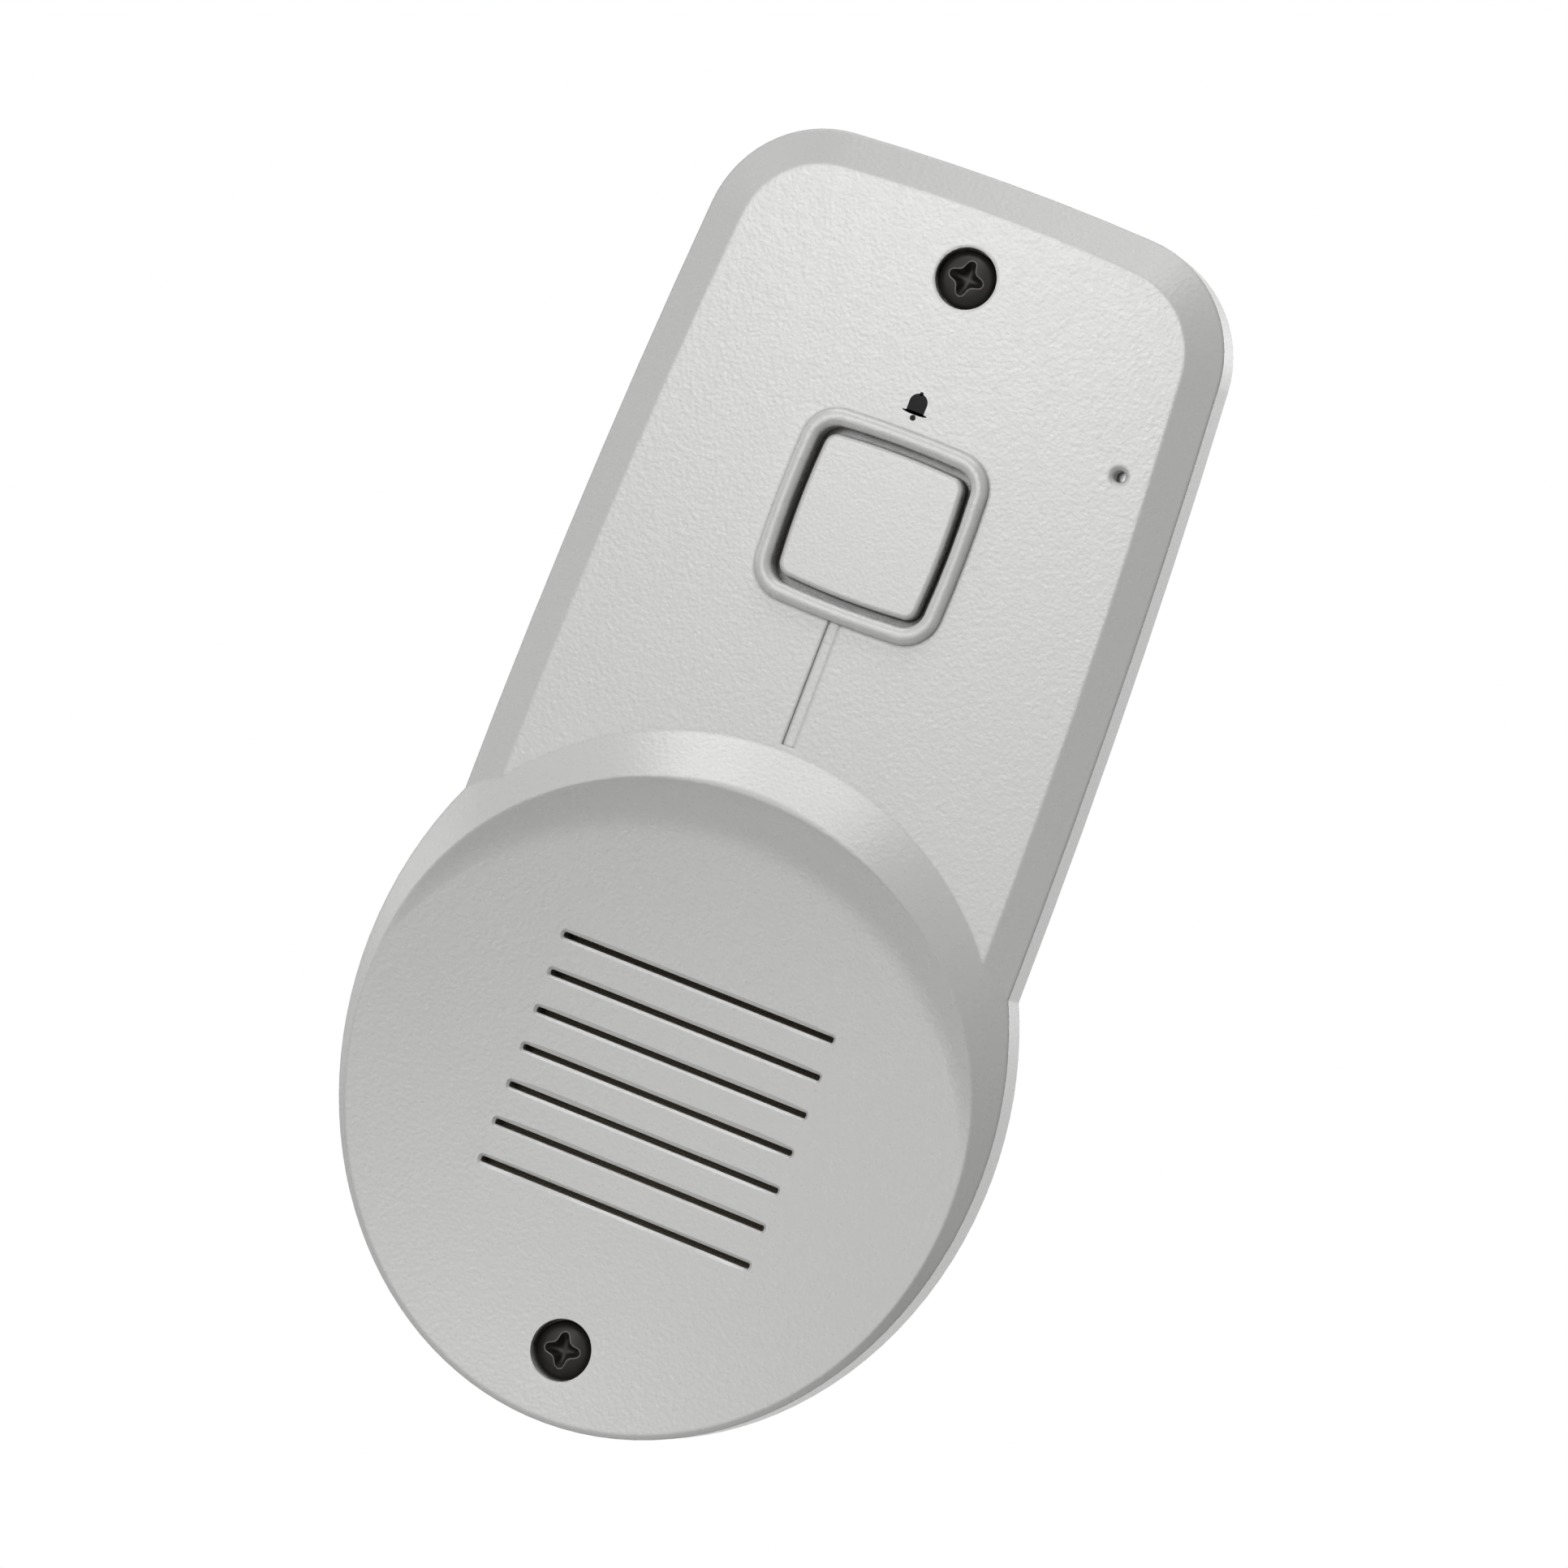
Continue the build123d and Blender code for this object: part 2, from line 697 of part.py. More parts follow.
# Microphone capsule in its rubber boot
capsule_front = plate_inner - boot_wall
boot_back = capsule_front - capsule_height
with BuildPart() as microphone_boot:
    with BuildSketch(level(boot_back)):
        with Locations((mic_x, mic_z)):
            Circle(boot_radius)
    extrude(amount=plate_inner - boot_back)
    with BuildSketch(level(boot_back)):
        with Locations((mic_x, mic_z)):
            Circle(capsule_radius)
    extrude(amount=capsule_height, mode=Mode.SUBTRACT)
    with BuildSketch(level(capsule_front)):
        with Locations((mic_x, mic_z)):
            Circle(mic_sink_radius)
    extrude(amount=boot_wall, mode=Mode.SUBTRACT)

microphone_boot.part.label = "microphone_boot"
export_step(microphone_boot.part, "parts/microphone_boot.step")

with BuildPart() as microphone_capsule:
    with BuildSketch(level(boot_back)):
        with Locations((mic_x, mic_z)):
            Circle(capsule_radius)
    extrude(amount=capsule_height)
    rim_edges = microphone_capsule.edges().filter_by(GeomType.CIRCLE)
    chamfer(rim_edges, length=fine_round)

microphone_capsule.part.label = "microphone_capsule"
export_step(microphone_capsule.part, "parts/microphone_capsule.step")

# Two way terminal block on the back of the board, its wire entries facing down
terminal_back = board_back - terminal_height
terminal_points = [(-terminal_pitch / 2, terminal_z), (terminal_pitch / 2, terminal_z)]
with BuildPart() as terminal_block:
    with BuildSketch(level(terminal_back)):
        with Locations((0, terminal_z)):
            Rectangle(terminal_width, terminal_depth)
    extrude(amount=terminal_height)
    chamfer(terminal_block.edges().filter_by(Axis.X).sort_by(Axis.Y)[-2:], length=fine_round * 2)
    with BuildSketch(level(terminal_back)):
        with Locations(*terminal_points):
            Circle(terminal_screw_radius)
    extrude(amount=terminal_well, mode=Mode.SUBTRACT)
    with BuildSketch(Plane.XY.offset(terminal_z - terminal_depth / 2)):
        entry_y = -(board_back - wire_entry_height)
        with Locations((-terminal_pitch / 2, entry_y), (terminal_pitch / 2, entry_y)):
            Rectangle(wire_entry_width, wire_entry_height)
    extrude(amount=terminal_depth * 0.6, mode=Mode.SUBTRACT)

terminal_block.part.label = "terminal_block"
export_step(terminal_block.part, "parts/terminal_block.step")

with BuildPart() as terminal_screws:
    with BuildSketch(level(terminal_back + terminal_screw_sink)):
        with Locations(*terminal_points):
            Circle(terminal_screw_radius)
    extrude(amount=terminal_well - terminal_screw_sink)
    with BuildSketch(level(terminal_back + terminal_screw_sink)):
        with Locations(*terminal_points):
            Rectangle(2 * terminal_screw_radius, terminal_slot_width)
    extrude(amount=terminal_slot_width, mode=Mode.SUBTRACT)

terminal_screws.part.label = "terminal_screws"
export_step(terminal_screws.part, "parts/terminal_screws.step")

# Capacitors on the back of the board, amplifier chip and resistors on its front
with BuildPart() as capacitors:
    with BuildSketch(level(board_back - capacitor_base)):
        with Locations(*capacitor_points):
            RectangleRounded(2 * capacitor_radius + 0.4, 2 * capacitor_radius + 0.4, 0.8)
    extrude(amount=capacitor_base)
    with BuildSketch(level(board_back - capacitor_height)):
        with Locations(*capacitor_points):
            Circle(capacitor_radius)
    extrude(amount=capacitor_height - capacitor_base)

capacitors.part.label = "capacitors"
export_step(capacitors.part, "parts/capacitors.step")

with BuildPart() as amplifier_chip:
    with BuildSketch(level(board_front + chip_stand)):
        with Locations(chip_point):
            Rectangle(chip_length, chip_width)
    extrude(amount=chip_height, taper=5)
    for side in (-1, 1):
        with BuildSketch(level(board_front)):
            with Locations((chip_point[0], chip_point[1] + side * chip_width / 2)):
                with GridLocations(leg_pitch, 0, leg_count, 1):
                    Rectangle(leg_width, leg_length)
        extrude(amount=chip_stand + leg_thickness)

amplifier_chip.part.label = "amplifier_chip"
export_step(amplifier_chip.part, "parts/amplifier_chip.step")

with BuildPart() as resistors:
    with BuildSketch(level(board_front)):
        with Locations(*resistor_points):
            Rectangle(resistor_length, resistor_width)
    extrude(amount=resistor_height)

resistors.part.label = "resistors"
export_step(resistors.part, "parts/resistors.step")

# Speaker, from the dish backwards: cloth, foam ring, frame, soft edge, cone, coil and magnet
with BuildPart() as speaker_cloth:
    with BuildSketch(speaker_level(dish_inner - mesh_thickness)):
        Circle(mesh_radius)
    extrude(amount=mesh_thickness)

speaker_cloth.part.label = "speaker_cloth"
export_step(speaker_cloth.part, "parts/speaker_cloth.step")

with BuildPart() as speaker_gasket:
    with BuildSketch(speaker_level(flange_front)):
        Circle(speaker_radius)
        Circle(gasket_inner_radius, mode=Mode.SUBTRACT)
    extrude(amount=gasket_height)

speaker_gasket.part.label = "speaker_gasket"
export_step(speaker_gasket.part, "parts/speaker_gasket.step")

basket_hole_radius = former_radius + basket_sheet + coil_clearance
window_circle = (basket_inner_radius + basket_foot_radius) / 2
with BuildPart() as speaker_frame:
    with BuildSketch(speaker_half_plane):
        with BuildLine():
            Polyline(
                (speaker_radius, flange_front),
                (basket_inner_radius, flange_front),
                (basket_inner_radius, edge_height),
                (basket_inner_radius - surround_lip, edge_height),
                (basket_foot_radius - basket_sheet, basket_foot),
                (basket_hole_radius, basket_foot),
                (basket_hole_radius, top_plate_front),
                (basket_foot_radius, top_plate_front),
                (basket_inner_radius + basket_sheet, flange_back),
                (speaker_radius, flange_back),
                close=True,
            )
        make_face()
    revolve(axis=speaker_axis)
    with BuildSketch(speaker_level(top_plate_front)):
        with PolarLocations(window_circle, window_count, start_angle=45):
            Circle(window_radius)
    extrude(amount=flange_front - top_plate_front, mode=Mode.SUBTRACT)

speaker_frame.part.label = "speaker_frame"
export_step(speaker_frame.part, "parts/speaker_frame.step")

with BuildPart() as speaker_surround:
    with BuildSketch(speaker_half_plane):
        with Locations(((cone_radius + roll_outer_radius) / 2, edge_height)):
            Circle(roll_radius)
            Rectangle(
                2 * (roll_radius + surround_lip),
                surround_sheet,
                align=(Align.CENTER, Align.MIN),
            )
            Circle(roll_radius - surround_sheet, mode=Mode.SUBTRACT)
            Rectangle(
                2 * roll_radius,
                roll_radius,
                align=(Align.CENTER, Align.MAX),
                mode=Mode.SUBTRACT,
            )
    revolve(axis=speaker_axis)

speaker_surround.part.label = "speaker_surround"
export_step(speaker_surround.part, "parts/speaker_surround.step")

cone_foot = edge_height - cone_depth
former_foot = magnet_front + top_plate_height / 2 - coil_height / 2
with BuildPart() as speaker_cone:
    with BuildSketch(speaker_half_plane):
        with BuildLine():
            Polyline(
                (cone_radius, edge_height),
                (cone_radius, edge_height - cone_sheet),
                (cone_radius - surround_lip, edge_height - cone_sheet),
                (former_radius, cone_foot),
                (former_radius, former_foot),
                (former_radius - former_sheet, former_foot),
                (former_radius - former_sheet, cone_foot + cone_sheet),
                (cone_radius - surround_lip, edge_height),
                close=True,
            )
        make_face()
    revolve(axis=speaker_axis)

speaker_cone.part.label = "speaker_cone"
export_step(speaker_cone.part, "parts/speaker_cone.step")

with BuildPart() as voice_coil:
    with BuildSketch(speaker_level(former_foot)):
        Circle(former_radius + coil_thickness)
        Circle(former_radius, mode=Mode.SUBTRACT)
    extrude(amount=coil_height)

voice_coil.part.label = "voice_coil"
export_step(voice_coil.part, "parts/voice_coil.step")

with BuildPart() as dust_cap:
    with BuildSketch(speaker_half_plane):
        cap_foot = cone_foot + cone_sheet
        cap_edge = former_radius - former_sheet
        cap_sphere_radius = (cap_edge**2 + cap_rise**2) / (2 * cap_rise)
        with Locations((0, cap_foot + cap_rise - cap_sphere_radius)):
            Circle(cap_sphere_radius)
            Circle(cap_sphere_radius - cone_sheet, mode=Mode.SUBTRACT)
        with Locations((0, cap_foot)):
            Rectangle(cap_edge, cap_rise, align=(Align.MIN, Align.MIN), mode=Mode.INTERSECT)
    revolve(axis=speaker_axis)

dust_cap.part.label = "dust_cap"
export_step(dust_cap.part, "parts/dust_cap.step")

gap_radius = former_radius + coil_thickness + coil_clearance
pole_radius = former_radius - former_sheet - coil_clearance
with BuildPart() as speaker_top_plate:
    with BuildSketch(speaker_level(magnet_front)):
        Circle(magnet_radius)
        Circle(gap_radius, mode=Mode.SUBTRACT)
    extrude(amount=top_plate_height)

speaker_top_plate.part.label = "speaker_top_plate"
export_step(speaker_top_plate.part, "parts/speaker_top_plate.step")

with BuildPart() as speaker_magnet:
    with BuildSketch(speaker_level(back_plate_front)):
        Circle(magnet_radius)
        Circle(gap_radius + coil_clearance, mode=Mode.SUBTRACT)
    extrude(amount=magnet_height)

speaker_magnet.part.label = "speaker_magnet"
export_step(speaker_magnet.part, "parts/speaker_magnet.step")

with BuildPart() as speaker_yoke:
    with BuildSketch(speaker_level(back_plate_front)):
        Circle(magnet_radius - basket_sheet)
    extrude(amount=-back_plate_height)
    with BuildSketch(speaker_level(back_plate_front)):
        Circle(pole_radius)
    extrude(amount=top_plate_front - back_plate_front)

speaker_yoke.part.label = "speaker_yoke"
export_step(speaker_yoke.part, "parts/speaker_yoke.step")

clamp_screw = pan_screw(
    clamp_head_radius, clamp_head_height, clamp_screw_radius, clamp_screw_length
)
with BuildPart() as clamp_screws:
    with Locations(facing_wall(flange_back)):
        with Locations(*[(x, -z) for x, z in clamp_points]):
            add(clamp_screw)

clamp_screws.part.label = "clamp_screws"
export_step(clamp_screws.part, "parts/clamp_screws.step")
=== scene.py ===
# %% [markdown]
# # Door call station
# The object is a wall mounted door station: a light grey plate with a call key, and below it a round
# hooded dish with a speaker behind seven slots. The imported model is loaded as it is, in metres, with
# the wall as the plane Y = 0 and the front facing -Y. Each finish is added on top of it, and only
# a few things are added here: the grille cloth, the foam ring behind it, the spring and the surround
# that give way, the two cover screws and a small printed sign.

# %% Load the model
from math import cos, pi, radians, sin

import bmesh
import bpy
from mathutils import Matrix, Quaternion, Vector


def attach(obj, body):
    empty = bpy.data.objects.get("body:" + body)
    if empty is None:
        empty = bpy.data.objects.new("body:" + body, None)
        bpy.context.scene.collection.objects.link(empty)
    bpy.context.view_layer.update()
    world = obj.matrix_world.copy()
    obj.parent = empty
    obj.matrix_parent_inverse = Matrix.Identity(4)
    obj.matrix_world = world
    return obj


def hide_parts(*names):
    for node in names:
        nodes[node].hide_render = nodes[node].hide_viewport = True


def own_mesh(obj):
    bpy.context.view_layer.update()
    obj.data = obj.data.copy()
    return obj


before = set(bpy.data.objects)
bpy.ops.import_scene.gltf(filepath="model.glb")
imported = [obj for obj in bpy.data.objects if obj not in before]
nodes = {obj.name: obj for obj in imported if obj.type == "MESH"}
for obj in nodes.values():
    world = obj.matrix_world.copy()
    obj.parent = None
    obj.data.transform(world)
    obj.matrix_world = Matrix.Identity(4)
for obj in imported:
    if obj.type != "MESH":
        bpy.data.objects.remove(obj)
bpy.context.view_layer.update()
scene = bpy.context.scene
scene.view_settings.view_transform = "Standard"
mm = 0.001
print("loaded", len(nodes), "pieces")

# %% [markdown]
# ## Camera
# The photograph looks at the station from 14 degrees to its right and about one degree above it,
# from 0.73 m away through a long lens, and the camera is rolled by 21 degrees. A long lens keeps the
# plate's two long sides nearly parallel, as they are in the photograph.

# %% Camera
aim = Vector((0.00106, -0.022, -0.01174))
azimuth, elevation, roll = radians(14.0), radians(1.19), radians(20.89)
distance = 0.7275
back = Vector((sin(azimuth) * cos(elevation), -cos(azimuth) * cos(elevation), sin(elevation)))
camera_data = bpy.data.cameras.new("camera")
camera_data.sensor_width = 36.0
camera_data.lens = 167.7
camera_data.clip_start = 0.01
camera = bpy.data.objects.new("camera", camera_data)
scene.collection.objects.link(camera)
camera.location = aim + distance * back
turn = back.to_track_quat("Z", "Y") @ Quaternion((0, 0, 1), roll)
camera.rotation_euler = turn.to_euler()
scene.camera = camera
print("camera at", [round(v, 3) for v in camera.location])

# %% [markdown]
# ## Background and lamps
# The background is white for the camera and in reflections, while a much weaker grey light reaches
# the surfaces from all round, as in a light tent. Most of the light comes from the front, the top
# and the left: the flat face mirrors the front lamps, so it is the brightest part, and the bevels
# that turn away from them, the right one above all, are darker. Little light comes from below, so
# the hood shades the top of the dish. Two lamps behind it show the back.

# %% World
world = bpy.data.worlds.new("studio")
scene.world = world
world.use_nodes = True
tree = world.node_tree
tree.nodes.clear()
world_out = tree.nodes.new("ShaderNodeOutputWorld")
tent = tree.nodes.new("ShaderNodeBackground")
tent.inputs["Color"].default_value = (1, 1, 1, 1)
tent.inputs["Strength"].default_value = 0.03
white = tree.nodes.new("ShaderNodeBackground")
white.inputs["Color"].default_value = (1, 1, 1, 1)
white.inputs["Strength"].default_value = 1.0
ray = tree.nodes.new("ShaderNodeLightPath")
seen = tree.nodes.new("ShaderNodeMath")
seen.operation = "MAXIMUM"
tree.links.new(ray.outputs["Is Camera Ray"], seen.inputs[0])
tree.links.new(ray.outputs["Is Glossy Ray"], seen.inputs[1])
seen_or_through = tree.nodes.new("ShaderNodeMath")
seen_or_through.operation = "MAXIMUM"
tree.links.new(seen.outputs[0], seen_or_through.inputs[0])
tree.links.new(ray.outputs["Is Transmission Ray"], seen_or_through.inputs[1])
choice = tree.nodes.new("ShaderNodeMixShader")
tree.links.new(seen_or_through.outputs[0], choice.inputs["Fac"])
tree.links.new(tent.outputs[0], choice.inputs[1])
tree.links.new(white.outputs[0], choice.inputs[2])
tree.links.new(choice.outputs[0], world_out.inputs["Surface"])
print("world ready")

# %% Lamps
middle_of_station = Vector((0, -0.02, 0))


def lamp(name, side, height, size, power, distance=0.8):
    """A round soft lamp, at angles from straight ahead, turned to the middle of the station."""
    data = bpy.data.lights.new(name, "AREA")
    data.shape = "DISK"
    data.size = size
    data.energy = power
    piece = bpy.data.objects.new(name, data)
    scene.collection.objects.link(piece)
    side, height = radians(side), radians(height)
    way = Vector((sin(side) * cos(height), -cos(side) * cos(height), sin(height)))
    piece.location = distance * way
    piece.rotation_euler = (piece.location - middle_of_station).to_track_quat("Z", "Y").to_euler()


lamp("front_lamp", -15, 10, 0.25, 0.66)
lamp("front_low_lamp", -10, 0, 0.3, 0.38)
lamp("front_near_lamp", -14, 14, 0.1, 0.13, distance=0.45)
lamp("front_top_lamp", -5, 40, 0.3, 0.62)
lamp("front_under_lamp", -20, -20, 0.3, 0.44)
lamp("front_left_lamp", -45, 20, 0.3, 0.11)
lamp("left_lamp", -80, 0, 0.4, 0.5)
lamp("left_top_lamp", -60, 60, 0.4, 1.6)
lamp("top_lamp", 0, 70, 0.4, 1.4)
lamp("right_top_lamp", 60, 75, 0.4, 0.3)
lamp("back_lamp", 145, 25, 0.5, 3.5)
lamp("back_left_lamp", -145, 15, 0.5, 2.5)

# %% [markdown]
# ## Shared surface effects
# Moulded plastic, rubber, cloth and metal share a few effects, so each is a node group with named
# inputs. Soft edges bends the shading round sharp edges, since no moulding tool leaves a knife edge.
# Grain is the fine pitting that spark erosion leaves in a steel mould and the plastic copies.
# Tone is the slight change of shade of any real surface. Crevice shade is painted shade: it darkens narrow
# gaps and the feet of ribs, where less light gets in, and it can spare what faces up to the light. Weave,
# drawn lines and windings are for cloth, metal and wire, and worn edges for black screws, where the worn
# edges also carry a painted highlight. All of them work in the object's own coordinates, in metres.

# %% Helpers for node groups
def new_group(name, inputs, outputs):
    """An empty shader node group with float inputs and the given outputs."""
    group = bpy.data.node_groups.new(name, "ShaderNodeTree")
    for label, value in inputs:
        socket = group.interface.new_socket(label, in_out="INPUT", socket_type="NodeSocketFloat")
        socket.default_value = value
    for label, kind in outputs:
        group.interface.new_socket(label, in_out="OUTPUT", socket_type=kind)
    return group, group.nodes.new("NodeGroupInput"), group.nodes.new("NodeGroupOutput")


def add_node(tree, kind, links=(), **settings):
    """A node with some settings, and links into its named or numbered inputs."""
    node = tree.nodes.new(kind)
    for key, value in settings.items():
        setattr(node, key, value)
    for socket, source in links:
        if isinstance(source, bpy.types.NodeSocket):
            tree.links.new(source, node.inputs[socket])
        else:
            node.inputs[socket].default_value = source
    return node


def math(tree, operation, *values):
    """The result of a math node."""
    return add_node(tree, "ShaderNodeMath", list(enumerate(values)), operation=operation).outputs[0]


def in_metres(tree, stretch=(1, 1, 1)):
    """Object coordinates, stretched."""
    place = add_node(tree, "ShaderNodeTexCoord").outputs["Object"]
    links = [("Vector", place), ("Scale", stretch)]
    return add_node(tree, "ShaderNodeMapping", links).outputs["Vector"]


print("helpers ready")

# %% Soft edges and grain
soft_edges, source, result = new_group(
    "soft_edges", [("Radius mm", 0.3)], [("Normal", "NodeSocketVector")]
)
radius = math(soft_edges, "MULTIPLY", source.outputs["Radius mm"], mm)
bevel = add_node(soft_edges, "ShaderNodeBevel", [("Radius", radius)], samples=4)
soft_edges.links.new(bevel.outputs["Normal"], result.inputs["Normal"])

grain, source, result = new_group(
    "grain",
    [("Size mm", 0.4), ("Depth mm", 0.01), ("Fineness", 0.5)],
    [("Height", "NodeSocketFloat")],
)
scale = math(grain, "DIVIDE", 1000.0, source.outputs["Size mm"])
fineness = source.outputs["Fineness"]
coarse = add_node(
    grain,
    "ShaderNodeTexNoise",
    [("Vector", in_metres(grain)), ("Scale", scale), ("Detail", 3.0), ("Roughness", fineness)],
)
pits = add_node(
    grain,
    "ShaderNodeTexVoronoi",
    [("Vector", in_metres(grain)), ("Scale", scale)],
    feature="SMOOTH_F1",
)
both = math(grain, "ADD", coarse.outputs["Fac"], math(grain, "MULTIPLY", pits.outputs["Distance"], 0.5))
deep = math(grain, "MULTIPLY", both, source.outputs["Depth mm"])
grain.links.new(math(grain, "MULTIPLY", deep, mm), result.inputs["Height"])

tone, source, result = new_group(
    "tone", [("Size mm", 12.0), ("Amount", 0.03)], [("Factor", "NodeSocketFloat")]
)
scale = math(tone, "DIVIDE", 1000.0, source.outputs["Size mm"])
place = in_metres(tone)
clouds = add_node(tone, "ShaderNodeTexNoise", [("Vector", place), ("Scale", scale), ("Detail", 2.0)])
centred = math(tone, "SUBTRACT", clouds.outputs["Fac"], 0.5)
spread = math(tone, "MULTIPLY", centred, source.outputs["Amount"])
tone.links.new(math(tone, "ADD", spread, 1.0), result.inputs["Factor"])

# Painted shade: an ambient occlusion mask that darkens narrow gaps and the feet of ribs, sparing faces that
# turn up to the light.
crevice, source, result = new_group(
    "crevice",
    [("Reach mm", 1.2), ("Start", 0.74), ("Strength", 0.97), ("Upper limit", 0.55)],
    [("Mask", "NodeSocketFloat")],
)
sharpness, curve = 2.5, 0.45
reach = math(crevice, "MULTIPLY", source.outputs["Reach mm"], mm)
shut_in = add_node(crevice, "ShaderNodeAmbientOcclusion", [("Distance", reach)], samples=4)
flat = add_node(crevice, "ShaderNodeNewGeometry").outputs["Normal"]
facing = add_node(crevice, "ShaderNodeSeparateXYZ", [(0, flat)])
below_limit = math(crevice, "SUBTRACT", source.outputs["Upper limit"], facing.outputs["Z"])
under = math(crevice, "MULTIPLY", below_limit, sharpness)
not_up = add_node(crevice, "ShaderNodeClamp", [("Value", under)]).outputs[0]
open_part = math(crevice, "DIVIDE", shut_in.outputs["AO"], source.outputs["Start"])
closed = add_node(crevice, "ShaderNodeClamp", [("Value", math(crevice, "SUBTRACT", 1.0, open_part))])
deeper = math(crevice, "MULTIPLY", math(crevice, "POWER", closed.outputs[0], curve), not_up)
crevice.links.new(math(crevice, "MULTIPLY", deeper, source.outputs["Strength"]), result.inputs["Mask"])
print("soft edges, grain, tone and crevice ready")

# %% Weave, drawn lines, windings and worn edges
thread_relief = 0.05 * mm
weave, source, result = new_group(
    "weave",
    [("Thread mm", 0.28)],
    [("Height", "NodeSocketFloat"), ("Open", "NodeSocketFloat")],
)
turns = math(weave, "DIVIDE", 1000 * pi, source.outputs["Thread mm"])
axes = add_node(weave, "ShaderNodeSeparateXYZ", [(0, in_metres(weave))])
across = math(weave, "SINE", math(weave, "MULTIPLY", axes.outputs["X"], turns))
along = math(weave, "SINE", math(weave, "MULTIPLY", axes.outputs["Z"], turns))
crossing = math(weave, "MULTIPLY", across, along)
weave.links.new(math(weave, "MULTIPLY", crossing, thread_relief), result.inputs["Height"])
holes = math(weave, "MULTIPLY", math(weave, "ABSOLUTE", across), math(weave, "ABSOLUTE", along))
weave.links.new(math(weave, "SUBTRACT", 1.0, holes), result.inputs["Open"])

drawn, source, result = new_group(
    "drawn_lines", [("Width mm", 0.06), ("Depth mm", 0.004)], [("Height", "NodeSocketFloat")]
)
scale = math(drawn, "DIVIDE", 1000.0, source.outputs["Width mm"])
streaks = add_node(
    drawn,
    "ShaderNodeTexNoise",
    [("Vector", in_metres(drawn, (0.05, 1, 1))), ("Scale", scale), ("Detail", 2.0)],
)
deep = math(drawn, "MULTIPLY", streaks.outputs["Fac"], source.outputs["Depth mm"])
drawn.links.new(math(drawn, "MULTIPLY", deep, mm), result.inputs["Height"])

wire_relief = 0.05 * mm
windings, source, result = new_group(
    "windings", [("Pitch mm", 0.14)], [("Height", "NodeSocketFloat")]
)
turns = math(windings, "DIVIDE", 1000 * pi, source.outputs["Pitch mm"])
axes = add_node(windings, "ShaderNodeSeparateXYZ", [(0, in_metres(windings))])
angle = math(windings, "MULTIPLY", axes.outputs["Y"], turns)
wave = math(windings, "ABSOLUTE", math(windings, "SINE", angle))
windings.links.new(math(windings, "MULTIPLY", wave, wire_relief), result.inputs["Height"])

# Worn edges: a light colour on convex edges, partly real wear and partly painted highlight.
worn_and_painted_highlight, source, result = new_group(
    "worn_edges", [("Radius mm", 0.2), ("Amount", 0.5)], [("Mask", "NodeSocketFloat")]
)
sharpness, speckles_per_metre = 4.0, 3000.0
radius = math(worn_and_painted_highlight, "MULTIPLY", source.outputs["Radius mm"], mm)
rounded = add_node(worn_and_painted_highlight, "ShaderNodeBevel", [("Radius", radius)], samples=4)
flat = add_node(worn_and_painted_highlight, "ShaderNodeNewGeometry").outputs["Normal"]
normals = [(0, rounded.outputs["Normal"]), (1, flat)]
alike = add_node(worn_and_painted_highlight, "ShaderNodeVectorMath", normals, operation="DOT_PRODUCT")
off_edge = math(worn_and_painted_highlight, "MULTIPLY", math(worn_and_painted_highlight, "SUBTRACT", 1.0, alike.outputs["Value"]), sharpness)
speckle = add_node(
    worn_and_painted_highlight,
    "ShaderNodeTexNoise",
    [("Vector", in_metres(worn_and_painted_highlight)), ("Scale", speckles_per_metre), ("Detail", 3.0)],
)
patchy = math(worn_and_painted_highlight, "MULTIPLY", off_edge, speckle.outputs["Fac"])
amount = math(worn_and_painted_highlight, "MULTIPLY", patchy, source.outputs["Amount"])
limited = add_node(worn_and_painted_highlight, "ShaderNodeClamp", [("Value", amount)])
worn_and_painted_highlight.links.new(limited.outputs[0], result.inputs["Mask"])
print("weave, drawn lines, windings and worn edges ready")

# %% [markdown]
# ## Materials
# Each material is one Principled shader. Its constants stand on the shader, and only what varies
# comes from the shared groups: a tone into the colour, grain into the bump and a little roughness.

# %% A material from the shared groups
blotches_per_metre = 900.0


def use_group(tree, group, **values):
    """A group in a material, with its inputs by name: size_mm=0.4 sets "Size mm"."""
    node = tree.nodes.new("ShaderNodeGroup")
    node.node_tree = group
    for socket in node.inputs:
        key = socket.name.lower().replace(" ", "_")
        if key in values:
            socket.default_value = values[key]
    return node


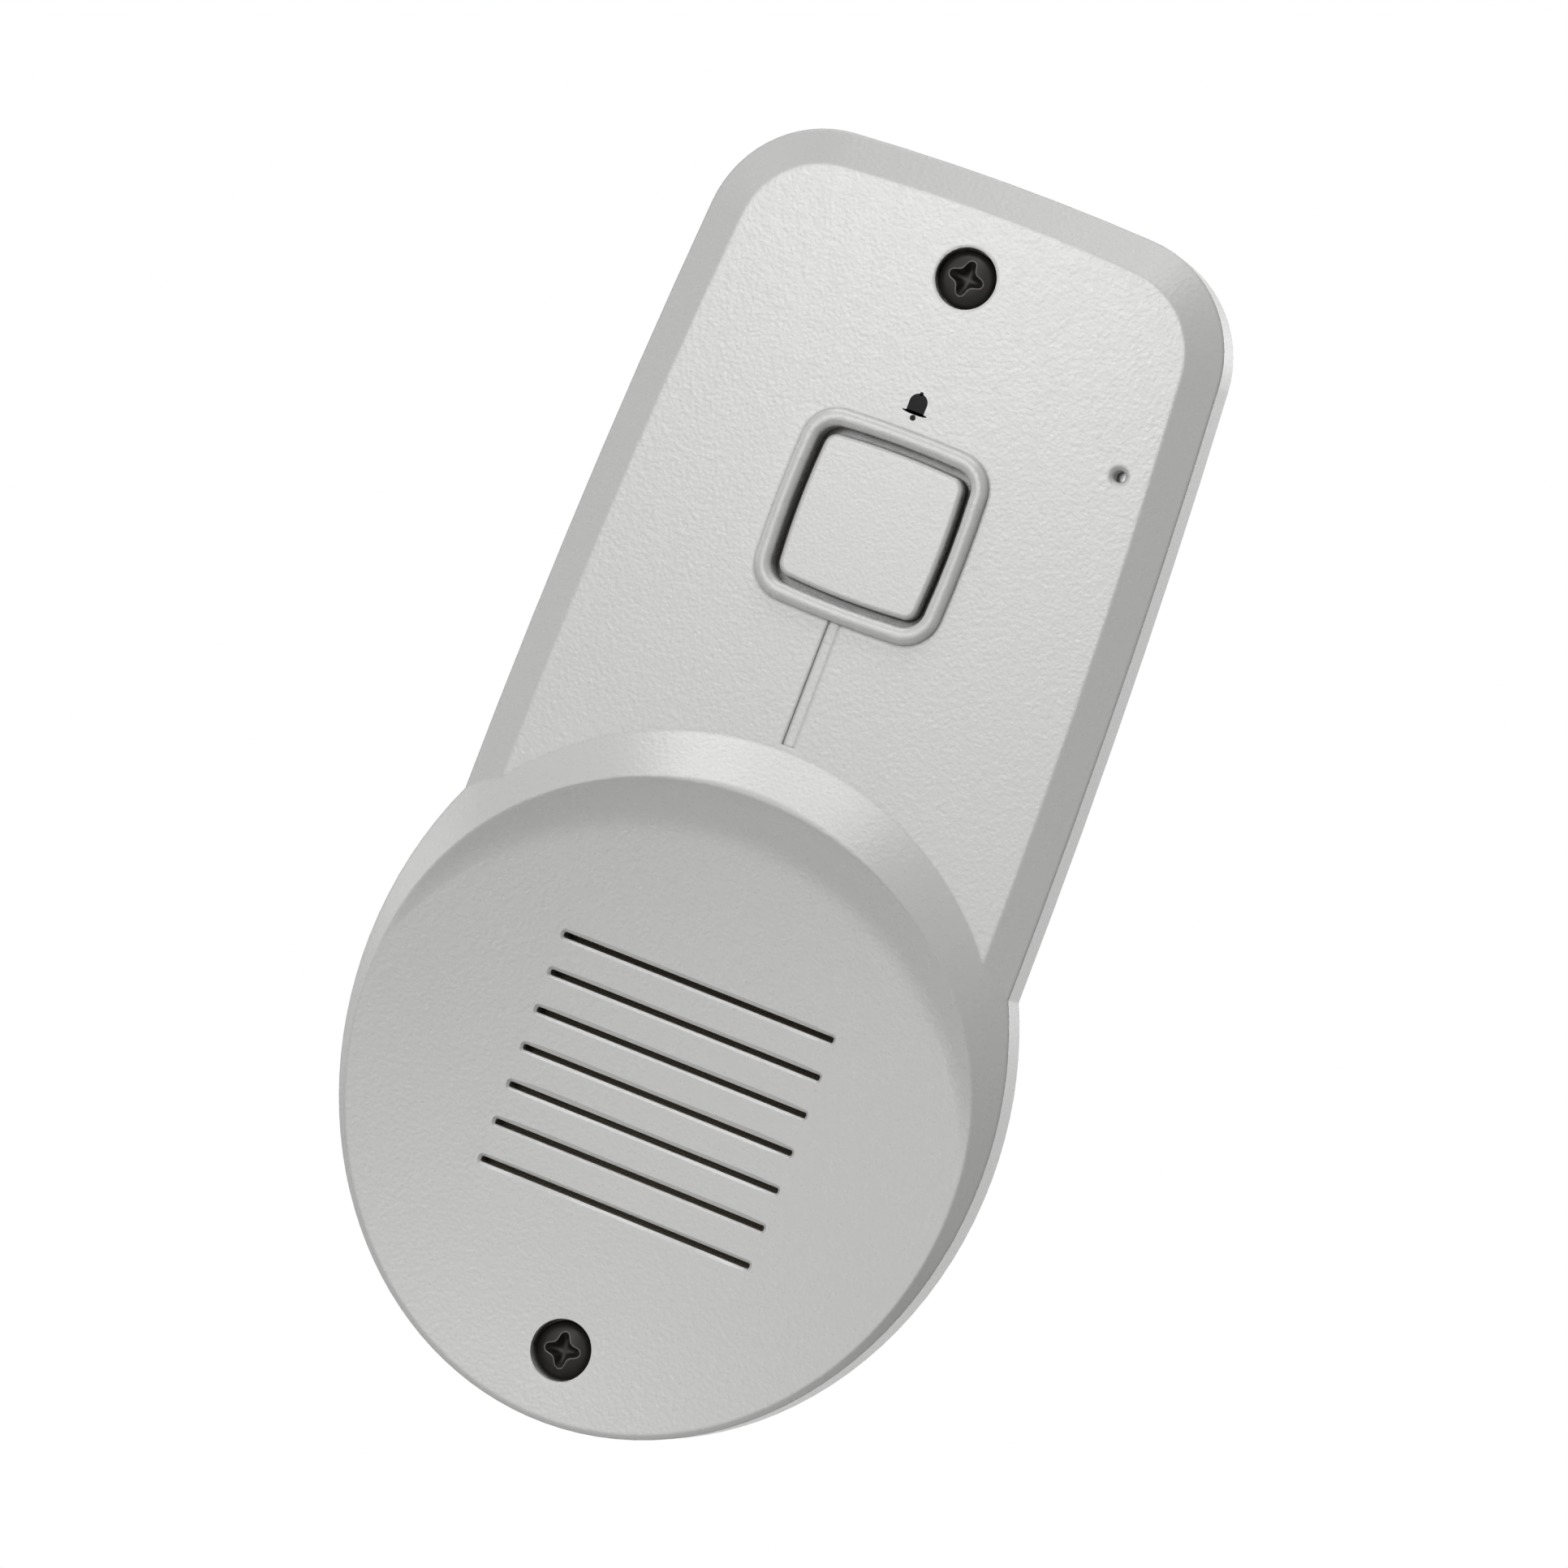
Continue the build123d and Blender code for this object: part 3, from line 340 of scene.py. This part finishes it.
def finish(name, colour, roughness, specular=0.5, metallic=0.0, edge=0.15, size=0.4, depth=0.0,
           patches=0.03, roughness_spread=0.0, height=None):
    """A surface with soft edges, a slight change of tone and a fine grain. Returns it and its shader."""
    material = bpy.data.materials.new(name)
    material.use_nodes = True
    tree = material.node_tree
    shader = tree.nodes["Principled BSDF"]
    shader.inputs["Roughness"].default_value = roughness
    shader.inputs["Specular IOR Level"].default_value = specular
    shader.inputs["Metallic"].default_value = metallic
    shade = use_group(tree, tone, amount=patches)
    tinted = add_node(tree, "ShaderNodeMix", data_type="RGBA", blend_type="MULTIPLY")
    tinted.inputs["Factor"].default_value = 1.0
    tinted.inputs["A"].default_value = (*colour, 1)
    tree.links.new(shade.outputs["Factor"], tinted.inputs["B"])
    tree.links.new(tinted.outputs["Result"], shader.inputs["Base Color"])
    normal = use_group(tree, soft_edges, radius_mm=edge).outputs["Normal"]
    if depth or height:
        if height is None:
            height = use_group(tree, grain, size_mm=size, depth_mm=depth).outputs["Height"]
        else:
            height = height(tree)
        bump = add_node(tree, "ShaderNodeBump", [("Height", height), ("Normal", normal)])
        bump.inputs["Distance"].default_value = 1.0
        normal = bump.outputs["Normal"]
        if roughness_spread:
            links = [("Vector", in_metres(tree)), ("Scale", blotches_per_metre)]
            vary = add_node(tree, "ShaderNodeTexNoise", links)
            centred = math(tree, "SUBTRACT", vary.outputs["Fac"], 0.5)
            around = math(tree, "MULTIPLY", centred, roughness_spread)
            tree.links.new(math(tree, "ADD", around, roughness), shader.inputs["Roughness"])
    tree.links.new(normal, shader.inputs["Normal"])
    return material, shader


def recolour(material, shader, mask, colour):
    """Mixes a second colour into the base colour where the mask is 1."""
    tree = material.node_tree
    before = shader.inputs["Base Color"].links[0].from_socket
    mixed = add_node(tree, "ShaderNodeMix", data_type="RGBA")
    tree.links.new(mask, mixed.inputs["Factor"])
    tree.links.new(before, mixed.inputs["A"])
    mixed.inputs["B"].default_value = (*colour, 1)
    tree.links.new(mixed.outputs["Result"], shader.inputs["Base Color"])


print("finish ready")

# %% [markdown]
# ### Moulded plastics
# Both covers are moulded in one light grey plastic with a slightly warm tint. The front carries a
# fine spark eroded grain that glitters where it mirrors the lamp. The call key comes from a smoother
# mould, so it looks calmer than the plate round it. The cover's outer edges are rounded, the lips of
# the slots are crisp and the hood flows softly into the floor of the dish, so the softness is set by
# the distance from the middle of the dish. Narrow gaps in the cover and round the key get painted
# shade, and the key's flange, deep in its opening, is painted near black as shade.

# %% Covers and key
# Painted shade: a near-black colour mixed into the cover's narrow gaps and the feet of its ribs.
gap_painted_shade = (0.035, 0.028, 0.016)
cover_plastic, shader = finish("cover_plastic", (0.563, 0.563, 0.553), 0.28, specular=1.0, edge=0.5,
                               size=0.42, depth=0.02, patches=0.02, roughness_spread=0.06)
tree = cover_plastic.node_tree
# The crevice mask places the painted shade in the cover's gaps.
gaps = use_group(tree, crevice, reach_mm=1.1).outputs["Mask"]
recolour(cover_plastic, shader, gaps, gap_painted_shade)
dish_z = -45.8 * mm
hood_foot, hood_top = 23 * mm, 29.5 * mm
crisp, hood_softness, edge_softness = 0.08, 2.5, 0.5
axes = add_node(tree, "ShaderNodeSeparateXYZ", [(0, in_metres(tree))])
up_from_middle = math(tree, "SUBTRACT", axes.outputs["Z"], dish_z)
from_middle = math(tree, "SQRT", math(tree, "ADD", math(tree, "POWER", axes.outputs["X"], 2.0),
                                      math(tree, "POWER", up_from_middle, 2.0)))
upper_half = math(tree, "GREATER_THAN", up_from_middle, 0.0)
in_hood = math(tree, "MULTIPLY", math(tree, "GREATER_THAN", from_middle, hood_foot),
               math(tree, "MULTIPLY", upper_half, hood_softness - crisp))
past_hood = math(tree, "GREATER_THAN", from_middle, hood_top)
inner = math(tree, "MULTIPLY", math(tree, "ADD", in_hood, crisp), math(tree, "SUBTRACT", 1.0, past_hood))
softness = math(tree, "ADD", inner, math(tree, "MULTIPLY", past_hood, edge_softness))
for node in tree.nodes:
    if node.type == "GROUP" and node.node_tree == soft_edges:
        tree.links.new(softness, node.inputs["Radius mm"])
base_plastic, _ = finish("base_plastic", (0.55, 0.55, 0.54), 0.36, specular=0.8, edge=0.4, size=0.5,
                         depth=0.014, patches=0.03, roughness_spread=0.08)
key_plastic, shader = finish("key_plastic", (0.565, 0.565, 0.55), 0.28, specular=1.0, edge=0.3, size=0.36,
                             depth=0.014, patches=0.02, roughness_spread=0.06)
tree = key_plastic.node_tree
# Painted shade: the key's gap walls and its flange, deeper than the lip height, are mixed to near black.
gaps = use_group(tree, crevice, reach_mm=0.9, strength=0.8, upper_limit=2.0).outputs["Mask"]
lip_height, fade = 21.6 * mm, 1.0 * mm
depth_in_gap = add_node(tree, "ShaderNodeSeparateXYZ", [(0, in_metres(tree))]).outputs["Y"]
past_lip = math(tree, "DIVIDE", math(tree, "ADD", depth_in_gap, lip_height), fade)
deep_gap_shade = add_node(tree, "ShaderNodeClamp", [("Value", past_lip)]).outputs[0]
recolour(key_plastic, shader, math(tree, "MAXIMUM", gaps, deep_gap_shade), (0.025, 0.021, 0.012))
black_plastic, _ = finish("black_plastic", (0.02, 0.02, 0.022), 0.42, edge=0.1, size=0.3, depth=0.006,
                          patches=0.2, roughness_spread=0.1)
switch_plastic, _ = finish("switch_plastic", (0.46, 0.09, 0.035), 0.35, edge=0.1, size=0.25, depth=0.003,
                           patches=0.08, roughness_spread=0.1)
terminal_plastic, _ = finish("terminal_plastic", (0.045, 0.25, 0.09), 0.3, edge=0.15, size=0.5, depth=0.004,
                             patches=0.08, roughness_spread=0.1)
print("plastics ready")

# %% [markdown]
# ### Rubber, foam, paper and cloth
# The seal and the microphone's boot are matt black rubber with a little bloom. The foam ring shows
# its cells. The cone is pressed from paper pulp, so it has short fibres.

# %% Soft materials
seal_rubber, _ = finish("seal_rubber", (0.028, 0.028, 0.028), 0.7, specular=0.35, edge=0.1, size=0.2,
                        depth=0.01, patches=0.4, roughness_spread=0.15)
foam, _ = finish("foam", (0.045, 0.045, 0.05), 0.95, specular=0.2, edge=0.15, size=0.35, depth=0.12,
                 patches=0.4, roughness_spread=0.05)
cone_paper, _ = finish("cone_paper", (0.055, 0.053, 0.05), 0.85, specular=0.25, edge=0.1, size=0.6,
                       depth=0.05, patches=0.35, roughness_spread=0.1)
surround_rubber, _ = finish("surround_rubber", (0.022, 0.022, 0.023), 0.5, specular=0.45, edge=0.05, size=0.8,
                            depth=0.01, patches=0.2, roughness_spread=0.1)


def woven(tree):
    """The height of the cloth's threads."""
    return use_group(tree, weave, thread_mm=0.3).outputs["Height"]


black_cloth, shader = finish("black_cloth", (0.22, 0.185, 0.145), 0.9, specular=0.2, edge=0.05, patches=0.3,
                             height=woven)
threads = use_group(black_cloth.node_tree, weave, thread_mm=0.3).outputs["Open"]
recolour(black_cloth, shader, threads, (0.12, 0.1, 0.072))
print("soft materials ready")

# %% [markdown]
# ### Metals
# The cover screws are black oxidised steel, a little bare at the edges of the cross where the
# driver slips, and a painted highlight on the same edges stands in for the light they catch. The inner
# screws and the speaker's plates are zinc plated. The magnet is sintered ferrite, dark grey and slightly
# granular.

# %% Metals
black_screw, shader = finish("black_screw", (0.016, 0.0135, 0.012), 0.4, specular=0.3, edge=0.1,
                             size=0.5, depth=0.004, patches=0.5, roughness_spread=0.12)
# Light grey on the cross's edges: partly bare steel from wear, partly painted highlight.
wear_and_painted_highlight = use_group(black_screw.node_tree, worn_and_painted_highlight, radius_mm=0.25, amount=1.6).outputs["Mask"]
recolour(black_screw, shader, wear_and_painted_highlight, (0.42, 0.4, 0.38))


def brushed(tree):
    """The height of fine lines from drawing the metal."""
    return use_group(tree, drawn, width_mm=0.08, depth_mm=0.006).outputs["Height"]


spring_steel, _ = finish("spring_steel", (0.55, 0.55, 0.57), 0.25, metallic=1.0, edge=0.03, patches=0.1,
                         roughness_spread=0.1, height=brushed)
zinc_steel, _ = finish("zinc_steel", (0.62, 0.63, 0.64), 0.32, metallic=1.0, edge=0.1, size=0.6, depth=0.006,
                       patches=0.12, roughness_spread=0.15)
capsule_metal, _ = finish("capsule_metal", (0.7, 0.71, 0.73), 0.3, metallic=1.0, edge=0.1, patches=0.08,
                          roughness_spread=0.1, height=brushed)
ferrite, _ = finish("ferrite", (0.06, 0.06, 0.064), 0.55, specular=0.5, edge=0.2, size=0.25, depth=0.02,
                    patches=0.3, roughness_spread=0.15)


def wound(tree):
    """The height of the coil's turns of wire."""
    return use_group(tree, windings, pitch_mm=0.14).outputs["Height"]


coil_wire, _ = finish("coil_wire", (0.62, 0.24, 0.09), 0.3, metallic=1.0, edge=0.03, patches=0.15,
                      height=wound)
print("metals ready")

# %% [markdown]
# ### Circuit board and its small parts
# The board is green solder mask over copper. Under the mask the tracks show as slightly paler
# lines, at right angles to each other, and the sawn edges show the yellowish glass laminate. The
# chip's legs and the resistors' ends are tinned, chosen by where they are.

# %% Board, chip, resistors and capacitors
board_laminate, shader = finish("board_laminate", (0.018, 0.15, 0.055), 0.3, specular=0.5, edge=0.1, size=0.8,
                                depth=0.004, patches=0.1, roughness_spread=0.08)
tree = board_laminate.node_tree
cells_per_metre = 600
cell = in_metres(tree, (cells_per_metre,) * 3)
pick = add_node(tree, "ShaderNodeVectorMath", [(0, cell)], operation="FLOOR").outputs["Vector"]
chance = add_node(tree, "ShaderNodeTexWhiteNoise", [("Vector", pick)], noise_dimensions="3D").outputs["Value"]
inside = add_node(tree, "ShaderNodeVectorMath", [(0, cell)], operation="FRACTION").outputs["Vector"]
axes = add_node(tree, "ShaderNodeSeparateXYZ", [(0, inside)])
half_track = 0.12


def near_middle(coordinate):
    """1 where a track runs through the middle of its cell."""
    offset = math(tree, "ABSOLUTE", math(tree, "SUBTRACT", coordinate, 0.5))
    return math(tree, "LESS_THAN", offset, half_track)


level = near_middle(axes.outputs["Z"])
upright = near_middle(axes.outputs["X"])
is_level = math(tree, "GREATER_THAN", chance, 0.55)
track = math(tree, "MAXIMUM", math(tree, "MULTIPLY", level, is_level),
             math(tree, "MULTIPLY", upright, math(tree, "SUBTRACT", 1.0, is_level)))
recolour(board_laminate, shader, math(tree, "MULTIPLY", track, 0.7), (0.05, 0.27, 0.09))
flat = add_node(tree, "ShaderNodeNewGeometry").outputs["Normal"]
facing = add_node(tree, "ShaderNodeSeparateXYZ", [(0, flat)])
sawn = math(tree, "LESS_THAN", math(tree, "ABSOLUTE", facing.outputs["Y"]), 0.5)
recolour(board_laminate, shader, sawn, (0.42, 0.38, 0.2))


def tinned_where(name, mask_of):
    """Black epoxy with tinned metal where the mask is 1."""
    material, shader = finish(name, (0.018, 0.018, 0.02), 0.45, edge=0.08, size=0.2, depth=0.006, patches=0.2,
                              roughness_spread=0.1)
    tree = material.node_tree
    place = add_node(tree, "ShaderNodeSeparateXYZ", [(0, in_metres(tree))])
    mask = mask_of(tree, place)
    recolour(material, shader, mask, (0.7, 0.7, 0.72))
    tree.links.new(mask, shader.inputs["Metallic"])
    return material


def beyond(tree, value, centre, half):
    """1 where a coordinate is further from the centre than half, both in millimetres."""
    offset = math(tree, "ABSOLUTE", math(tree, "SUBTRACT", value, centre * mm))
    return math(tree, "GREATER_THAN", offset, half * mm)


def chip_legs(tree, place):
    """The legs stand out above and below the chip's body."""
    chip_z, half_body = -7.0, 2.0
    return beyond(tree, place.outputs["Z"], chip_z, half_body)


def resistor_ends(tree, place):
    """The ends are beyond the middle of each of the three columns of resistors."""
    columns, half_body = (2.0, 14.0, -13.0), 1.2
    mask = None
    for centre in columns:
        inside = math(tree, "SUBTRACT", 1.0, beyond(tree, place.outputs["X"], centre, half_body))
        mask = inside if mask is None else math(tree, "MAXIMUM", mask, inside)
    return math(tree, "SUBTRACT", 1.0, mask)


def capacitor_can(tree, place):
    """The metal can ends where the capacitor's base begins."""
    base_front = -11.1
    return math(tree, "GREATER_THAN", place.outputs["Y"], base_front * mm)


chip_epoxy = tinned_where("chip_epoxy", chip_legs)
resistor_body = tinned_where("resistor_body", resistor_ends)
capacitor_metal = tinned_where("capacitor_metal", capacitor_can)
print("board and small parts ready")

# %% [markdown]
# ## Give each piece its finish
# A CAD piece keeps its shape and place and only gets the better material.

# %% Assign
finishes = {
    cover_plastic: ["front_cover"],
    base_plastic: ["base_cover"],
    key_plastic: ["call_key"],
    seal_rubber: ["weather_seal", "microphone_boot"],
    black_screw: ["cover_screws"],
    spring_steel: ["key_spring"],
    black_plastic: ["switch_body"],
    switch_plastic: ["switch_plunger"],
    board_laminate: ["circuit_board"],
    zinc_steel: ["board_screws", "terminal_screws", "clamp_screws", "speaker_frame", "speaker_top_plate",
                 "speaker_yoke"],
    capsule_metal: ["microphone_capsule"],
    capacitor_metal: ["capacitors"],
    terminal_plastic: ["terminal_block"],
    chip_epoxy: ["amplifier_chip"],
    resistor_body: ["resistors"],
    black_cloth: ["speaker_cloth"],
    foam: ["speaker_gasket"],
    surround_rubber: ["speaker_surround"],
    cone_paper: ["speaker_cone", "dust_cap"],
    coil_wire: ["voice_coil"],
    ferrite: ["speaker_magnet"],
}
for material, names in finishes.items():
    for name in names:
        slots = nodes[name].data.materials
        for index in range(len(slots)):
            slots[index] = material
print("finished", sum(len(names) for names in finishes.values()), "of", len(nodes))

# %% [markdown]
# ## Grille cloth and foam ring
# The cloth is a loose polyester weave, glued by its edge under the slots, so it is one thin round
# sheet stretched flat. The foam ring behind it is punched from a sheet: a flat ring, thickened, with
# its edges a little rounded.

# %% Cloth and foam
def start_piece():
    """Leaves any edit mode and selects nothing."""
    if bpy.context.object and bpy.context.object.mode != "OBJECT":
        bpy.ops.object.mode_set(mode="OBJECT")
    bpy.ops.object.select_all(action="DESELECT")


def settle(piece, name, material):
    """Puts the piece's turn and place into its mesh, names it and gives it its finish."""
    bpy.ops.object.transform_apply(location=True, rotation=True, scale=True)
    piece.name = name
    piece.data.materials.clear()
    piece.data.materials.append(material)


speaker_z = -45.8 * mm
cloth_radius = 21.8 * mm
dish_inner = 18.086 * mm
cloth_depth = -(dish_inner - 0.1 * mm)
start_piece()
bpy.ops.mesh.primitive_circle_add(
    vertices=96, radius=cloth_radius, fill_type="TRIFAN",
    location=(0, cloth_depth, speaker_z), rotation=(pi / 2, 0, 0),
)
cloth = bpy.context.object
bpy.ops.object.mode_set(mode="EDIT")
bpy.ops.mesh.select_all(action="SELECT")
bpy.ops.mesh.subdivide(number_cuts=3)
bpy.ops.object.mode_set(mode="OBJECT")
settle(cloth, "grille_cloth", black_cloth)
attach(cloth, "housing")
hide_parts("speaker_cloth")

start_piece()
foam_inner, foam_outer = 20.0, 22.3
foam_front = dish_inner - 0.3 * mm
foam_middle = (0, -(foam_front - 0.5 * mm), speaker_z)
bpy.ops.mesh.primitive_circle_add(
    vertices=96, radius=foam_inner * mm, fill_type="NOTHING",
    location=foam_middle, rotation=(pi / 2, 0, 0),
)
ring = bpy.context.object
bpy.ops.object.mode_set(mode="EDIT")
bpy.ops.mesh.select_all(action="SELECT")
bpy.ops.mesh.extrude_edges_move()
widen = foam_outer / foam_inner
bpy.ops.transform.resize(value=(widen, 1, widen), center_override=foam_middle)
bpy.ops.object.mode_set(mode="OBJECT")
thick = ring.modifiers.new("thick", "SOLIDIFY")
thick.thickness = 1.0 * mm
thick.offset = 0
edges = ring.modifiers.new("edges", "BEVEL")
edges.width = 0.15 * mm
edges.segments = 3
bpy.ops.object.modifier_apply(modifier="thick")
bpy.ops.object.modifier_apply(modifier="edges")
bpy.ops.object.shade_smooth_by_angle(angle=radians(40))
settle(ring, "foam_ring", foam)
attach(ring, "housing")
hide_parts("speaker_gasket")
print("cloth and foam ring ready")

# %% [markdown]
# ## Spring and surround
# Two pieces give way when something moves: the return spring under the key is pressed together, and
# the rubber roll round the speaker's cone flattens. Their shape at rest is the one of the CAD, so
# each is a copy of that mesh, kept at its rest shape.


def giving_copy(node, name, material, travel):
    """A copy of a CAD piece with the given material, in place of the CAD piece; the joint's travel, in
    millimetres, is only printed.
    """
    piece = bpy.data.objects.new(name, nodes[node].data.copy())
    scene.collection.objects.link(piece)
    piece.data.materials.clear()
    piece.data.materials.append(material)
    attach(piece, "housing")
    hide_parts(node)
    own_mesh(piece)
    print(name, "shortens by", travel, "mm")


giving_copy("key_spring", "return_spring", spring_steel,
            travel=1.0)
giving_copy("speaker_surround", "cone_surround", surround_rubber,
            travel=0.3)

# %% [markdown]
# ## Cover screws
# The two screws have domed pan heads with a cross recess that a driver has rounded. The outline of
# a screw is made like a turned piece: a ring is extruded and narrowed step by step from the tip of
# the shank to the top of the dome. The recess is cut by a tapering plus, softened by subdivision,
# because a real cross is pressed with rounded corners and not sawn with sharp ones.

# %% Screws
screw_radius, shank_radius, head_height, shank_length = 3.0, 1.75, 1.9, 12.0
tip_radius, tip_length, edge_break, rim_height = 1.1, 0.8, 0.12, 0.5


def turned(name, z, profile):
    """A closed turned body along Y at a height z, from pairs of radius and Y, all in millimetres."""
    start_piece()
    radius, depth = profile[0]
    bpy.ops.mesh.primitive_circle_add(
        vertices=64, radius=radius * mm, fill_type="NGON",
        location=(0, depth * mm, z * mm), rotation=(pi / 2, 0, 0),
    )
    piece = bpy.context.object
    bpy.ops.object.transform_apply(location=True, rotation=True, scale=True)
    bpy.ops.object.mode_set(mode="EDIT")
    bpy.ops.mesh.select_mode(type="EDGE")
    bpy.ops.mesh.select_all(action="SELECT")
    for next_radius, next_depth in profile[1:]:
        bpy.ops.mesh.extrude_edges_move()
        bpy.ops.transform.translate(value=(0, (next_depth - depth) * mm, 0))
        share = next_radius / radius
        bpy.ops.transform.resize(value=(share, 1, share), center_override=(0, next_depth * mm, z * mm))
        radius, depth = next_radius, next_depth
    bpy.ops.mesh.edge_face_add()
    bpy.ops.mesh.select_all(action="SELECT")
    bpy.ops.mesh.normals_make_consistent(inside=False)
    bpy.ops.object.mode_set(mode="OBJECT")
    piece.name = name
    return piece


def plus_cutter(z, front, turn):
    """A tapering plus with soft corners, which stands out of the head and ends inside it."""
    start_piece()
    span, width = 4.3 * mm, 1.15 * mm
    stand_out = 1.2
    middle = (0, (front - stand_out) * mm, z * mm)
    bpy.ops.mesh.primitive_grid_add(
        x_subdivisions=3, y_subdivisions=3, size=span, location=middle, rotation=(pi / 2, 0, 0),
    )
    cutter = bpy.context.object
    bpy.ops.object.transform_apply(location=True, rotation=True, scale=True)
    bpy.ops.object.mode_set(mode="EDIT")
    bpy.ops.mesh.select_mode(type="VERT")
    mesh = bmesh.from_edit_mesh(cutter.data)
    for axis, stretch in ((0, (3 * width / span, 1, 1)), (2, (1, 1, 3 * width / span))):
        for point in mesh.verts:
            point.select = abs(point.co[axis] - middle[axis]) < span / 4
        mesh.select_flush(True)
        bmesh.update_edit_mesh(cutter.data)
        bpy.ops.transform.resize(value=stretch, center_override=middle)
    for point in mesh.verts:
        point.select = abs(point.co.x) > span / 4 and abs(point.co.z - middle[2]) > span / 4
    mesh.select_flush(True)
    bmesh.update_edit_mesh(cutter.data)
    bpy.ops.mesh.delete(type="VERT")
    bpy.ops.mesh.select_all(action="SELECT")
    for step, share in ((stand_out, 0.98), (0.7, 0.78), (0.7, 0.6)):
        bpy.ops.mesh.extrude_region_move()
        bpy.ops.transform.translate(value=(0, step * mm, 0))
        bpy.ops.transform.resize(value=(share, 1, share), center_override=middle)
    bpy.ops.mesh.select_all(action="SELECT")
    bpy.ops.mesh.normals_make_consistent(inside=False)
    bpy.ops.transform.rotate(value=radians(turn), orient_axis="Y", center_override=middle)
    bpy.ops.object.mode_set(mode="OBJECT")
    softened = cutter.modifiers.new("softened", "SUBSURF")
    softened.levels = 3
    bpy.ops.object.modifier_apply(modifier="softened")
    return cutter


def cover_screw(name, z, seat, turn):
    """A whole screw: the profile goes from the tip along the shank and the head's edge over the dome."""
    front = seat - head_height
    profile = [(tip_radius, seat + shank_length), (shank_radius, seat + shank_length - tip_length),
               (shank_radius, seat), (screw_radius - edge_break, seat), (screw_radius, seat - edge_break),
               (screw_radius, seat - rim_height)]
    for step in range(1, 12):
        angle = radians(step * 7.8)
        dome = (head_height - rim_height) * sin(angle)
        profile.append((screw_radius * cos(angle) ** 0.8, seat - rim_height - dome))
    screw = turned(name, z, profile)
    cutter = plus_cutter(z, front, turn)
    start_piece()
    bpy.context.view_layer.objects.active = screw
    screw.select_set(True)
    recess = screw.modifiers.new("recess", "BOOLEAN")
    recess.operation = "DIFFERENCE"
    recess.solver = "EXACT"
    recess.object = cutter
    bpy.ops.object.modifier_apply(modifier="recess")
    bpy.data.objects.remove(cutter, do_unlink=True)
    bpy.ops.object.shade_smooth_by_angle(angle=radians(35))
    settle(screw, name, black_screw)
    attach(screw, "housing")
    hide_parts("cover_screws")
    print(name, len(screw.data.polygons), "faces")


cover_screw("upper_cover_screw", z=41.7, seat=-20.2, turn=-4)
cover_screw("lower_cover_screw", z=-72.65, seat=-18.27, turn=9)

# %% [markdown]
# ## Printed sign over the key
# A small bell in black ink tells what the key does. It is pad printed, so it is a film only a few
# hundredths of a millimetre thick. It is a round that is stretched into a bell, with a drop below.

# %% Sign
sign_z = 28.1 * mm
face = 22.0 * mm


def flat_round(radius, up):
    """A flat round on the plate's face, at a height from the sign's middle, in millimetres."""
    start_piece()
    bpy.ops.mesh.primitive_circle_add(
        vertices=32, radius=radius * mm, fill_type="NGON",
        location=(0, -face - 0.01 * mm, sign_z + up * mm), rotation=(pi / 2, 0, 0),
    )
    piece = bpy.context.object
    bpy.ops.object.transform_apply(location=True, rotation=True, scale=True)
    return piece


def move_lowest(piece, below, move):
    """Moves down the points under a height and brings them to nearly one level, in millimetres."""
    bpy.ops.object.mode_set(mode="EDIT")
    mesh = bmesh.from_edit_mesh(piece.data)
    bpy.ops.mesh.select_mode(type="VERT")
    bpy.ops.mesh.select_all(action="DESELECT")
    for point in mesh.verts:
        point.select = point.co.z < sign_z + below * mm
    mesh.select_flush(True)
    bmesh.update_edit_mesh(piece.data)
    bpy.ops.transform.translate(value=(0, 0, -move * mm))
    middle = (0, -face, sign_z + (below - move) * mm)
    bpy.ops.transform.resize(value=(1, 1, 0.02), center_override=middle)
    bpy.ops.object.mode_set(mode="OBJECT")


bell = flat_round(0.95, 0.35)
move_lowest(bell, below=0.2, move=1.05)
brim_up = -0.72
brim = flat_round(0.44, brim_up)
bpy.ops.object.mode_set(mode="EDIT")
bpy.ops.transform.resize(value=(3.0, 1, 0.4), center_override=(0, -face, sign_z + brim_up * mm))
bpy.ops.object.mode_set(mode="OBJECT")
clapper = flat_round(0.3, -1.22)
knob = flat_round(0.2, 1.3)
start_piece()
for piece in (bell, brim, clapper, knob):
    piece.select_set(True)
bpy.context.view_layer.objects.active = bell
bpy.ops.object.join()
film = bell.modifiers.new("film", "SOLIDIFY")
film.thickness = 0.02 * mm
bpy.ops.object.modifier_apply(modifier="film")
ink, _ = finish("black_ink", (0.006, 0.006, 0.006), 0.6, specular=0.2, edge=0.01, size=0.3,
                depth=0.002, patches=0.3, roughness_spread=0.1)
settle(bell, "bell_sign", ink)
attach(bell, "housing")
print("sign ready")

# %% [markdown]
# ## Floor
# A plain pale floor below the station, out of the photograph's view.

# %% Floor and finish
floor_finish, _ = finish("pale_floor", (0.82, 0.82, 0.81), 0.7, edge=0.0, size=3.0, depth=0.02,
                         patches=0.02)
start_piece()
bpy.ops.mesh.primitive_plane_add(size=1.2, location=(0, 0, -0.25))
floor = bpy.context.object
floor.name = "floor"
floor.data.materials.append(floor_finish)
